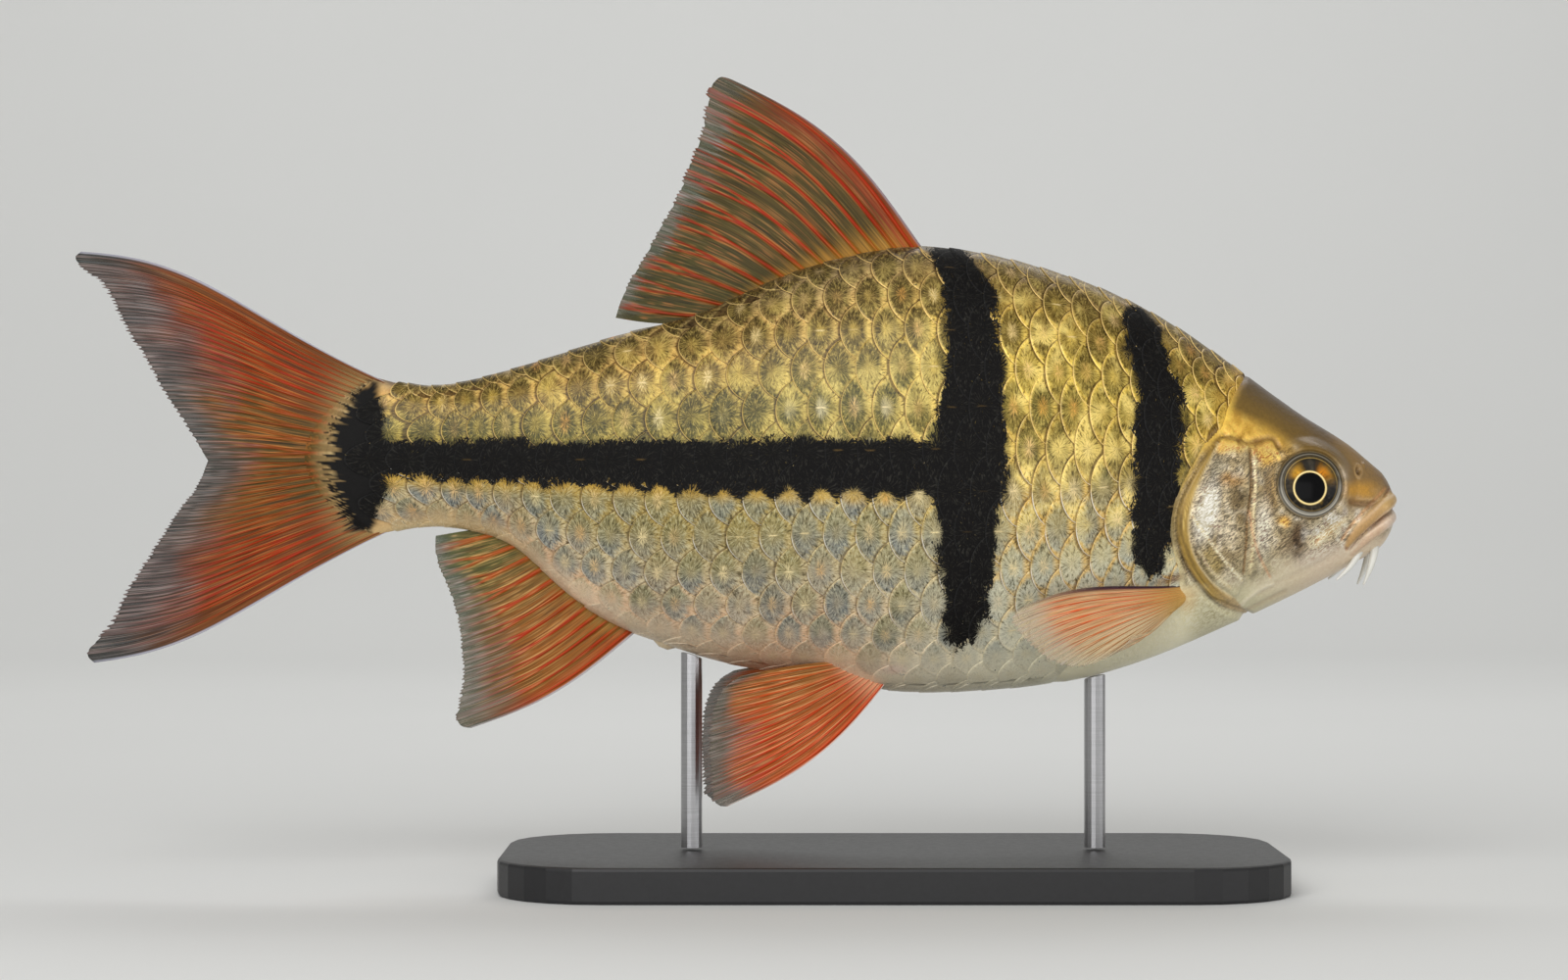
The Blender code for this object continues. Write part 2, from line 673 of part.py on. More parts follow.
def fin_grid(plan):
    """A fin in side view, in rows from root to edge along bowed rays, and half its thickness."""
    across, crest = ray_columns(plan["rays"])
    out = np.linspace(0, 1, plan["rows"])[:, None]
    root = curve_through(plan["root"])(across)[None]
    chord = curve_through(plan["edge"])(across)[None] - root
    first, last = plan["bow"]
    bow = (first * (1 - across) + last * across) * np.sin(math.pi * out ** plan["peak"])
    normal = np.stack([chord[..., 1], -chord[..., 0]], axis=2)
    normal = normal / np.linalg.norm(normal, axis=2)[..., None]
    flat = root + chord * out[..., None] + normal * bow[..., None]
    thick_root, thick_edge = plan["thick"]
    half = thick_edge / 2 + (thick_root - thick_edge) / 2 * (1 - out) ** 2 + 0 * across
    ridge_root, ridge_edge = plan["ridge"]
    ridge = ridge_edge + (ridge_root - ridge_edge) * (1 - out)
    pitch = np.linalg.norm(np.gradient(flat, across, axis=1), axis=2) / plan["rays"]
    half = half + crest * np.minimum(ridge, RIDGE_STEEPNESS * pitch)
    return flat, out, across, half


def fin_mesh(name, middle, half):
    """A closed thin fin from its middle surface and half thickness. Both of its faces are split
    into triangles alike, and a rim joins them."""
    normal = np.cross(np.gradient(middle, axis=0), np.gradient(middle, axis=1))
    normal = normal / np.linalg.norm(normal, axis=2)[..., None] * half[..., None]
    points = np.concatenate([(middle + normal).reshape(-1, 3), (middle - normal).reshape(-1, 3)])
    rows, columns = half.shape
    other = rows * columns
    faces = []
    for i in range(rows - 1):
        for j in range(columns - 1):
            a = i * columns + j
            b, c, d = a + 1, a + columns, a + columns + 1
            faces += [(a, b, d), (a, d, c)]
            faces += [(a + other, d + other, b + other), (a + other, c + other, d + other)]
    rim = list(range(columns))
    rim += [i * columns + columns - 1 for i in range(1, rows)]
    rim += [(rows - 1) * columns + j for j in range(columns - 2, -1, -1)]
    rim += [i * columns for i in range(rows - 2, 0, -1)]
    for a, b in zip(rim, rim[1:] + rim[:1]):
        faces += [(a, b + other, b), (a, a + other, b + other)]
    return mesh_of(name, points, faces)


def make_fin(name, plan, off_middle, clearance, fish, shift=0.0):
    """A fin from its plan. off_middle gives its distance to the left of the middle plane, shift
    moves its tip back, and the body's clearance shape cuts its root."""
    flat, out, across, half = fin_grid(plan)
    x, z = flat[..., 0] - shift * out, flat[..., 1]
    middle = np.stack([x, off_middle(out, across) + 0 * x, z], axis=2)
    fin = new_object(name, fin_mesh(name, middle, half), fish)
    boolean(fin, clearance, "DIFFERENCE")
    tidy(fin)
    paint(fin, "fin")


def make_median_fins(clearance, fish):
    """The fins in the middle plane, each with a gentle wave along it."""
    for name, plan in FINS.items():
        wave = plan["wave"]
        make_fin(
            name, plan,
            lambda out, across: wave * np.sin(math.pi * out / WAVE_LENGTH) * np.sin(math.pi * across),
            clearance, fish,
        )


def make_paired_fins(name, side, clearance, fish):
    """The pelvic and pectoral fin of one side."""
    front, rear = PELVIC_ROOT_Y
    make_fin(
        "pelvic_fin_" + name, PELVIC_FIN,
        lambda out, across: side * (front + (rear - front) * across + PELVIC_SPLAY * out),
        clearance, fish, PELVIC_TRAIL if side > 0 else 0.0,
    )
    root = np.array([side_y(x, z) for x, z in PECTORAL_FIN["root"]]).mean() - PECTORAL_SUNK
    make_fin(
        "pectoral_fin_" + name, PECTORAL_FIN,
        lambda out, across: side * (root + (PECTORAL_TIP_Y - root) * out),
        clearance, fish,
    )


def make_stand_base(fish):
    """A flat base with rounded corners and softened edges."""
    length, width, height = STAND_BASE
    turns = np.linspace(0, math.pi / 2, STAND_CORNER_POINTS)
    outline = []
    for quarter in range(4):
        sign_x, sign_y = ((1, 1), (-1, 1), (-1, -1), (1, -1))[quarter]
        for turn in turns + quarter * math.pi / 2:
            x = STAND_CENTRE_X + sign_x * (length / 2 - STAND_CORNER) + STAND_CORNER * math.cos(turn)
            outline.append((x, sign_y * (width / 2 - STAND_CORNER) + STAND_CORNER * math.sin(turn)))
    base = flat_solid("stand_base", outline, height, fish)
    base.data.transform(Matrix.Translation((0, 0, height / 2 * MM)))
    paint(base, "stand_base")
    soften = base.modifiers.new("soft_edge", "BEVEL")
    soften.width = STAND_EDGE * MM
    soften.segments = STAND_EDGE_STEPS
    soften.limit_method = "ANGLE"
    soften.angle_limit = math.radians(STAND_EDGE_ANGLE)


def make_stand_rods(clearance, fish):
    """Two short rods that reach from the base up to the belly."""
    bottom = STAND_BASE[2] + GAP
    for name, x in RODS.items():
        top = float(belly(x)) + ROD_REACH
        bpy.ops.mesh.primitive_cylinder_add(
            vertices=ROD_SEGMENTS, radius=ROD_RADIUS * MM, depth=(top - bottom) * MM,
        )
        middle = Matrix.Translation((x * MM, 0, (top + bottom) / 2 * MM))
        rod = placed(bpy.context.object, "stand_rod_" + name, middle, fish)
        boolean(rod, clearance, "DIFFERENCE")
        tidy(rod)
        paint(rod, "stand_rod")


def main():
    """Builds the fish and its stand, then removes the cutters."""
    clear_scene()
    fish = new_collection("spanner_barb")
    helpers = new_collection("cutters")
    front_places = np.concatenate([trunk_places(), head_places()])
    body = new_object("body", body_mesh("body", front_places), helpers)
    all_places = np.concatenate([stalk_places()[:-1], front_places])
    clearance = new_object("clearance", body_mesh("clearance", all_places, GAP), helpers)
    recesses = {side: cover_recess(side, helpers) for side in SIDES.values()}
    make_head(body, recesses, helpers, fish)
    make_trunk(body, recesses, helpers, fish)
    make_stalk(fish)
    make_median_fins(clearance, fish)
    for name, side in SIDES.items():
        make_gill_cover(name, side, helpers, fish)
        make_eye(name, side, fish)
        make_barbels(name, side, clearance, fish)
        make_paired_fins(name, side, clearance, fish)
    make_stand_base(fish)
    make_stand_rods(clearance, fish)
    for thing in list(helpers.objects):
        bpy.data.objects.remove(thing)


main()
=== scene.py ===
"""The looks of the spanner barb: one skin, its scales, finned membranes, eyes, stand and studio.

Sizes and places are in millimetres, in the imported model's own axes: +X to the snout, +Z up, and the
fish's right side faces -Y. Every surface is worked out with numpy as a grid and put into a mesh.
"""

import itertools
import math

import bpy
import numpy as np
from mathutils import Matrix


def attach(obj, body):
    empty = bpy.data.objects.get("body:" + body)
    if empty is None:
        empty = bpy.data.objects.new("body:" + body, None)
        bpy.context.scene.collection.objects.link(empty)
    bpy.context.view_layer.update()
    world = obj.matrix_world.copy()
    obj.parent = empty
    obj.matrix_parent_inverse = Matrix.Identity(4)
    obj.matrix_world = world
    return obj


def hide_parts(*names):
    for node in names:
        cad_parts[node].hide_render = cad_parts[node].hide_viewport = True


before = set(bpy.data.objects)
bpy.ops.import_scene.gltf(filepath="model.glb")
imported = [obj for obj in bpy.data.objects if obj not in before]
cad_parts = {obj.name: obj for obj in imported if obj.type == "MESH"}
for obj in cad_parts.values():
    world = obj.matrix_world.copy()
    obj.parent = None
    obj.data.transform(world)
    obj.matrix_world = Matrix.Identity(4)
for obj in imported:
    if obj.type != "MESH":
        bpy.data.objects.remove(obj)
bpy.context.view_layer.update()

MM = 0.001
SIDES = {"right": -1, "left": 1}
SEED = 7

# The body's outline in the middle plane, as (x, z) from the tail stalk to the snout
BACK_LINE = [
    (-40.8, 57.7), (-35.1, 56.6), (-29.4, 57.4), (-20.9, 59.9), (-11.2, 62.9), (-4.5, 64.7),
    (0.5, 66.9), (5.8, 69.2), (13.0, 71.3), (20.0, 72.3), (26.5, 71.8), (33.5, 70.2),
    (43.5, 66.6), (54.9, 59.8), (65.3, 52.4), (70.0, 49.3), (72.6, 47.1), (74.9, 45.6),
]
BELLY_LINE = [
    (-40.8, 39.5), (-35.1, 40.5), (-29.5, 39.9), (-25.4, 38.3), (-20.4, 33.9), (-14.5, 29.7),
    (-6.9, 26.8), (-1.2, 25.1), (8.0, 23.6), (17.5, 22.0), (27.2, 22.0), (38.8, 23.4),
    (47.4, 26.0), (55.8, 29.6), (61.5, 32.2), (67.2, 35.1), (71.2, 37.3), (74.9, 39.7),
]
HALF_WIDTHS = [
    (-40.8, 1.6), (-34.0, 3.0), (-26.0, 4.3), (-18.0, 5.6), (-8.0, 7.3), (2.0, 8.8),
    (12.0, 9.8), (22.0, 10.3), (32.0, 10.3), (42.0, 9.9), (52.0, 9.0), (60.0, 7.7),
    (66.0, 6.4), (70.0, 5.2), (74.9, 3.9),
]
WIDEST_SHARES = [(-40.8, 0.50), (-26.0, 0.49), (0.0, 0.46), (25.0, 0.45), (50.0, 0.46), (74.9, 0.5)]
BACK_FULLNESS = 1.85
BELLY_FULLNESS = 2.15
SNOUT_TIP_X = 74.45
SNOUT_ROUND = 1.9
SNOUT_FLAT = 0.02
STALK_END_X = -40.8
STALK_END_BOW = 5.6
STALK_BOW_LENGTH = 8.0
STALK_WEDGE = (3.4, 0.02)
SKIN_COLUMNS = 304
TRUNK_RINGS = 90
TRUNK_CROWDING = 1.35
TAIL_PAINT = (-42.0, -44.4)
HEAD_RINGS = 200
WEDGE_RINGS = 16
HEAD_START_X = 46.0
SNOUT_CROWDING = 0.55

# The scales: how high their free edge stands, how thick they are, and how far the skin lies below
SCALE_RISE = 0.26
SCALE_THICK = 0.13
COAT_DEPTH = 0.22
SCALE_FALL = 0.5
SCALE_HALF_HEIGHT = [(-46.0, 0.74), (-20.0, 0.74), (0.0, 0.78), (15.0, 0.88), (30.0, 0.96), (60.0, 0.96)]
SCALE_ROUND = 0.93
SCALE_LENGTH = 1.42
SCALE_COLUMNS = 17
SCALE_ROWS = 9
SCALE_BACKBONE = [
    (-46.0, 48.3), (-20.0, 48.1), (-10.0, 48.2), (0.0, 48.7), (10.0, 49.2), (40.0, 49.35), (56.0, 49.8),
]
ROW_PITCH = [
    (-46.0, 2.6), (-40.8, 2.8), (-33.0, 3.5), (-22.0, 4.2), (-12.0, 4.6), (0.0, 4.85), (18.0, 4.95),
    (30.0, 4.85), (38.6, 4.6), (48.0, 3.6), (56.0, 2.8), (62.0, 2.4),
]
SCALE_PITCH = [
    (-40.8, 2.4), (-33.0, 2.9), (-22.0, 3.4), (-10.0, 3.65), (20.0, 3.6), (32.0, 3.3), (40.0, 3.2),
    (50.0, 2.7), (60.0, 2.1),
]
SCALE_BOW = [(-40.8, 0.8), (-20.0, 0.85), (0.0, 0.8), (25.0, 0.66), (60.0, 0.62)]
ROW_CLOSING = (0.03, 0.022)
SCALE_START_X = -39.9
SCALE_END_X = 60.0
RIDGE_LIFT = 0.05
RIDGE_SPANS = {"back": (-38.0, 50.0), "belly": (-9.0, 33.0)}
# The darker leaf in a scale: its middle and half length in scales, and its half height in rows
LEAF_PLACE = (0.43, 0.42, 0.7)
# The flank's table: its places along the body, turns round it and places read from them, how far it
# reaches along the body, past the ridges of back and belly in radians, and off the backbone
FLANK_GRID = (260, 420, 401)
FLANK_END_X = 66.0
FLANK_PAST = 0.75
FLANK_REACH = 40
BAKE_PATCH = 0.003

# What colours are multiplied by on the rear flank, under the tail stalk, on the darker band of the
# upper flank and on the gill cover
REAR_TINT = np.array([0.9, 0.86, 0.68])
STALK_TINT = np.array([0.74, 0.68, 0.5])
SHADE_TINT = np.array([0.63, 0.67, 0.63])
OPERCLE_TINT = np.array([0.76, 0.7, 0.58])
# How metallic, rough and foil-like skin is, wet on the body and matt on the tail's root
WET_FINISH = (0.12, 0.34, 0.0)
MATT_FINISH = (0.0, 0.62, 0.0)

# Lines of the head in side view, as (x, z)
COVER_OUTLINE = [
    (56.2, 50.6), (57.2, 49.3), (57.3, 46.4), (57.1, 42.5), (56.8, 38.1), (56.5, 34.8),
    (55.5, 32.7), (53.6, 32.6), (51.8, 34.2), (50.2, 36.4), (49.2, 38.9), (48.9, 41.5),
    (49.7, 44.4), (51.2, 47.1), (52.9, 49.4), (54.5, 50.8),
]
COVER_EDGE = [
    (54.3, 50.7), (52.9, 49.5), (51.3, 47.1), (49.7, 44.3), (48.9, 41.5), (49.2, 38.8), (50.4, 36.0),
    (51.8, 34.1), (53.5, 32.4), (54.7, 31.6), (57.8, 30.5),
]
COVER_RIM_INNER = [
    (53.6, 50.0), (52.1, 47.1), (50.7, 43.9), (50.2, 41.4), (50.4, 38.9), (51.6, 36.2), (53.5, 34.1),
    (55.6, 32.8),
]
COVER_TOP = [(54.3, 50.8), (55.7, 50.4), (57.5, 50.1), (60.1, 50.4), (60.6, 49.5)]
CHEEK_GROOVE = [(57.2, 49.1), (57.3, 47.3), (57.2, 44.0), (56.9, 42.3), (56.7, 37.9), (56.5, 35.6)]
CHEEK_BRANCH = [(57.1, 42.3), (57.8, 38.8), (58.8, 36.5), (59.7, 35.0)]
COVER_DIAGONAL = [(50.5, 41.9), (54.7, 36.5), (56.3, 34.8)]
MAXILLA_GROOVE = [(73.6, 44.9), (72.0, 43.1), (69.8, 40.8), (68.6, 39.0), (68.5, 38.1)]
SNOUT_GROOVE = [(68.7, 43.4), (70.5, 43.2), (72.1, 43.3)]
EYE_RIDGE = [(64.9, 38.6), (66.6, 40.4), (67.9, 41.3)]
BREAST_EDGE = [(54.7, 31.6), (57.8, 30.5)]
# Lines of the head: places, how far they stand out and their reach, colour, paint's reach and share
# Sunken lines with dark colours (cheek_groove, cover_top, maxilla and snout grooves, breast_edge): painted
# shade
HEAD_LINES = {
    "cheek_groove": (CHEEK_GROOVE, -0.3, 0.36, (138, 104, 62), 0.26, 0.85),
    "cheek_ridge": (
        [(57.7, 48.9), (57.8, 46.0), (57.6, 43.0), (57.5, 38.5), (57.3, 35.6)],
        0.1, 0.4, (224, 206, 164), 0.3, 0.7,
    ),
    "cheek_branch": (CHEEK_BRANCH, -0.14, 0.34, (206, 156, 118), 0.24, 0.6),
    "cover_diagonal": (COVER_DIAGONAL, 0.12, 0.4, (240, 228, 196), 0.3, 0.7),
    "cover_lower": ([(51.3, 38.2), (53.0, 35.6), (55.0, 34.0)], 0.08, 0.4, (226, 212, 176), 0.35, 0.6),
    "cover_top": (COVER_TOP, -0.28, 0.5, (120, 90, 50), 0.5, 0.8),
    "cheek_top": (
        [(57.6, 48.9), (58.6, 49.7), (60.0, 49.5), (60.5, 48.3)], 0.08, 0.4, (230, 188, 100), 0.4, 0.7,
    ),
    "maxilla_groove": (MAXILLA_GROOVE, -0.26, 0.34, (158, 108, 66), 0.34, 0.8),
    "maxilla_fold": (
        [(72.9, 45.0), (71.2, 43.3), (69.0, 41.0), (67.8, 39.2)], -0.14, 0.34, (196, 142, 92), 0.3, 0.6,
    ),
    "snout_groove": (SNOUT_GROOVE, -0.22, 0.5, (118, 84, 44), 0.6, 0.7),
    "eye_ridge": (EYE_RIDGE, 0.12, 0.6, (234, 216, 182), 0.55, 0.7),
    "jaw_fold": (
        [(66.8, 37.4), (64.0, 35.9), (61.0, 34.5), (58.5, 33.2)], -0.08, 0.6, (206, 190, 164), 0.5, 0.35,
    ),
    "throat_arc": ([(60.0, 34.2), (57.9, 33.2), (56.6, 32.0)], 0.12, 0.4, (236, 226, 206), 0.4, 0.6),
    "throat_fold": ([(61.6, 33.4), (59.0, 32.1), (57.2, 31.2)], -0.12, 0.4, (186, 168, 134), 0.4, 0.5),
    "breast_edge": (BREAST_EDGE, -0.2, 0.5, (170, 140, 96), 0.4, 0.6),
}
# Soft patches of colour on the head: place, half length and height, tilt, colour and share
# The dark patches at (55.7, 43.4) on the gill cover and (59.5, 44.4) on the cheek are painted shade
HEAD_PATCHES = [
    (55.0, 52.4, 3.6, 1.7, -28, (236, 188, 80), 0.5), (59.4, 50.9, 3.8, 1.4, -28, (232, 184, 78), 0.5),
    (61.9, 48.0, 1.4, 2.4, 0, (160, 128, 66), 0.6), (64.0, 50.2, 4.5, 1.2, -22, (112, 88, 44), 0.5),
    (59.0, 48.6, 1.5, 1.4, 0, (222, 176, 88), 0.85), (54.6, 49.4, 1.9, 0.8, -5, (230, 186, 98), 0.9),
    (53.6, 47.2, 1.3, 1.5, 0, (146, 140, 122), 0.6), (55.0, 45.9, 1.7, 1.0, 0, (164, 120, 62), 0.75),
    (55.7, 43.4, 1.15, 3.0, 8, (92, 76, 48), 0.8), (52.2, 42.4, 1.6, 4.2, -12, (228, 224, 212), 0.8),
    (54.4, 40.2, 1.4, 2.4, 25, (210, 200, 180), 0.5), (52.8, 36.9, 1.2, 2.2, 28, (156, 136, 80), 0.65),
    (55.4, 35.0, 1.8, 0.9, -20, (216, 206, 182), 0.6), (59.5, 44.4, 1.0, 3.2, 0, (146, 120, 76), 0.65),
    (58.7, 40.2, 1.3, 4.0, 0, (216, 212, 200), 0.6), (61.0, 41.2, 0.9, 0.8, 0, (220, 168, 74), 0.7),
    (62.8, 39.2, 1.35, 2.7, -8, (78, 56, 34), 0.9), (61.1, 38.4, 1.1, 1.4, 0, (136, 116, 88), 0.5),
    (65.9, 39.9, 2.9, 1.0, 30, (224, 206, 172), 0.65), (65.4, 37.4, 3.6, 1.5, 22, (218, 204, 190), 0.55),
    (70.0, 44.7, 2.6, 1.3, 0, (192, 144, 60), 0.9), (68.4, 48.0, 2.4, 1.3, -40, (126, 104, 62), 0.5),
    (72.9, 46.0, 1.6, 0.9, -45, (122, 98, 72), 0.5), (60.5, 34.6, 4.5, 1.3, 18, (226, 214, 190), 0.5),
]
# The edge of the bare head, from the nape round the gill cover to the breast
BARE_EDGE = [
    (59.5, 61.0), (57.6, 57.6), (55.9, 55.6), (54.9, 53.4), (54.0, 51.4), (52.6, 50.1), (50.8, 47.4),
    (49.2, 44.5), (48.4, 41.5), (48.6, 38.6), (49.4, 35.6), (49.4, 33.6), (47.6, 31.6), (44.0, 29.6),
    (40.0, 27.0), (36.5, 23.6), (34.5, 19.0),
]
MOUTH_LINE = [(74.75, 42.75), (74.0, 42.5), (72.0, 41.2), (70.3, 39.7), (69.0, 38.1)]
LIPS = {
    "upper": [(74.45, 43.9), (73.1, 43.25), (71.6, 42.1), (69.8, 40.4), (68.5, 38.6)],
    "lower": [(74.45, 41.7), (73.1, 41.2), (71.9, 40.2), (70.5, 38.9), (69.3, 37.6)],
}
LIP_RADII = {"upper": [0.95, 0.95, 0.85, 0.7, 0.45], "lower": [0.9, 0.85, 0.7, 0.55, 0.35]}
LIP_INSETS = [0.72, 0.36, 0.34, 0.34, 0.3]
LIP_TONES = {"upper": ((186, 150, 100), (204, 172, 116)), "lower": ((206, 178, 150), (222, 204, 190))}
NOSTRIL = (69.8, 46.9)
NOSTRIL_SIZE = (0.34, 0.52)
VENT = (-8.3, 0.0, 27.0)
VENT_SIZE = (1.6, 1.3, 1.6)
FORK_Z = 48.2
TAIL_ROOT_ROWS = 22

EYE_CENTRE = (64.1, 45.4)
EYE_RADIUS = 3.84
EYE_DOME = (-0.35, 0.78)
EYE_DOME_ROUND = 0.96
EYE_BACK = 1.6
EYE_RINGS = (60, 14)
EYE_COLUMNS = 96
PUPIL_RADIUS = 1.72
PUPIL_SHIFT = (0.2, -0.42)
GOLD_RING = 1.89
IRIS_EDGE = 3.08
# Patches of the iris: turn and half width in degrees, colour, strength and reach from the centre
IRIS_PATCHES = [
    (146, 46, (168, 126, 50), 0.9, 3.2), (136, 32, (212, 130, 26), 1.0, 2.8),
    (40, 34, (196, 148, 52), 0.9, 3.2), (34, 22, (230, 166, 48), 0.9, 2.7),
    (-116, 13, (206, 166, 70), 0.9, 2.6), (-54, 11, (206, 166, 70), 0.9, 2.6),
    (88, 26, (84, 78, 68), 0.6, 3.1), (0, 24, (84, 66, 34), 0.6, 2.9),
]
ORBIT_RISE = 0.12
ORBIT_DEPTH = 1.2

# The black markings, as (z, rear x, front x) for bars and (x, lower z, upper z) for the stripe
FRONT_BAR = [
    (34.6, 45.6, 46.8), (35.5, 44.8, 47.7), (38.2, 43.9, 48.3), (42.6, 43.7, 49.2), (47.0, 44.2, 49.4),
    (51.3, 44.5, 49.9), (55.7, 44.3, 49.5), (60.0, 43.6, 48.3), (63.8, 43.4, 46.7), (65.3, 44.0, 45.4),
]
MIDDLE_BAR = [
    (26.6, 24.6, 25.9), (27.9, 23.2, 27.1), (31.7, 23.2, 28.1), (36.1, 22.5, 28.7), (40.4, 22.2, 29.0),
    (44.8, 21.6, 29.5), (50.2, 21.6, 30.1), (54.6, 22.5, 29.8), (58.9, 23.2, 29.5), (63.3, 23.6, 29.2),
    (67.6, 22.7, 29.0), (72.6, 21.8, 25.0),
]
TAIL_BAR = [
    (40.2, -44.0, -41.6), (41.0, -44.6, -41.0), (42.6, -45.3, -40.5), (44.8, -46.0, -39.6),
    (48.0, -46.6, -39.3), (51.3, -45.8, -40.2), (54.6, -44.6, -40.4), (56.8, -42.8, -40.9),
]
STRIPE = [
    (-44.0, 45.9, 50.4), (-37.2, 46.1, 50.3), (-20.9, 45.3, 50.3), (-1.0, 44.2, 50.4), (25.0, 43.8, 50.5),
]

# Each fin in side view, first ray first: its root line, its free edge, and the bow of its first and
# last rays off their chords. thick is the half thickness of membrane and rays at root and edge
FINS = {
    "dorsal_fin": {
        "root": [(21.6, 71.4), (13.1, 70.3), (5.3, 67.6), (-3.2, 63.8)],
        "edge": [
            (-0.6, 91.3), (-2.3, 91.6), (-3.6, 89.9), (-4.2, 86.4), (-5.5, 82.4), (-7.2, 78.0),
            (-9.2, 74.2), (-10.8, 71.2), (-12.5, 68.2), (-13.8, 64.3),
        ],
        "bow": (2.6, -0.4), "peak": 1.1, "rays": 12, "wave": 0.5,
    },
    "anal_fin": {
        "root": [(-10.6, 29.4), (-15.4, 31.8), (-21.0, 36.2), (-27.0, 40.8)],
        "edge": [
            (-30.2, 17.8), (-31.8, 18.3), (-31.9, 20.0), (-31.3, 23.2), (-31.4, 27.0), (-31.9, 30.6),
            (-32.9, 33.7), (-34.2, 37.4), (-34.2, 39.6),
        ],
        "bow": (-1.4, 0.0), "peak": 1.1, "rays": 10, "wave": -0.4,
    },
    "caudal_fin_upper": {
        "root": [(-38.6, 56.5), (-41.4, 55.4), (-43.6, 52.6), (-44.6, 48.2)],
        "edge": [
            (-74.4, 71.8), (-75.1, 71.2), (-72.9, 68.6), (-70.6, 64.8), (-67.9, 60.4), (-65.6, 56.4),
            (-62.9, 52.4), (-60.0, 48.1),
        ],
        "bow": (2.3, 0.0), "peak": 1.9, "rays": 9, "wave": 0.5,
    },
    "caudal_fin_lower": {
        "root": [(-44.6, 48.2), (-43.8, 44.6), (-41.6, 41.6), (-38.4, 40.6)],
        "edge": [
            (-60.0, 48.1), (-61.3, 45.4), (-63.6, 42.4), (-65.9, 38.8), (-68.6, 34.8),
            (-70.3, 31.8), (-72.2, 28.6), (-73.8, 26.1), (-72.9, 25.2),
        ],
        "bow": (0.0, -1.9), "peak": 1.9, "rays": 9, "wave": -0.5,
    },
}
PELVIC_FIN = {
    "root": [(17.3, 23.8), (15.9, 24.4), (14.3, 25.0), (12.4, 25.6)],
    "edge": [
        (-1.1, 9.3), (-2.6, 9.6), (-3.1, 11.4), (-3.3, 13.9), (-3.3, 16.9), (-2.9, 19.8),
        (-1.8, 22.3), (0.6, 24.0),
    ],
    "bow": (-1.9, 0.3), "peak": 1.0, "rays": 9,
}
PELVIC_ROOT_Y = (2.4, 4.0)
PELVIC_SPLAY = 2.6
PELVIC_TRAIL = 1.1
PECTORAL_FIN = {
    "root": [(50.4, 34.2), (50.5, 33.5), (50.1, 32.6), (49.1, 31.7)],
    "edge": [
        (31.5, 31.9), (30.3, 30.4), (31.1, 28.9), (32.8, 27.2), (35.0, 25.7), (37.8, 25.3),
        (40.3, 26.0), (42.0, 27.0), (43.7, 28.7),
    ],
    "bow": (1.2, -0.5), "peak": 1.5, "rays": 12,
}
PECTORAL_SUNK = 0.5
PECTORAL_TIP_Y = 12.6
PECTORAL_RISE = 2.4
WAVE_LENGTH = 1.4
FIN_ROWS = 64
FIN_COLUMNS_PER_RAY = 24
MEMBRANE_HALF = (0.16, 0.045)
RAY_HALF = (0.34, 0.07)
RAGGED_EDGE = 0.014
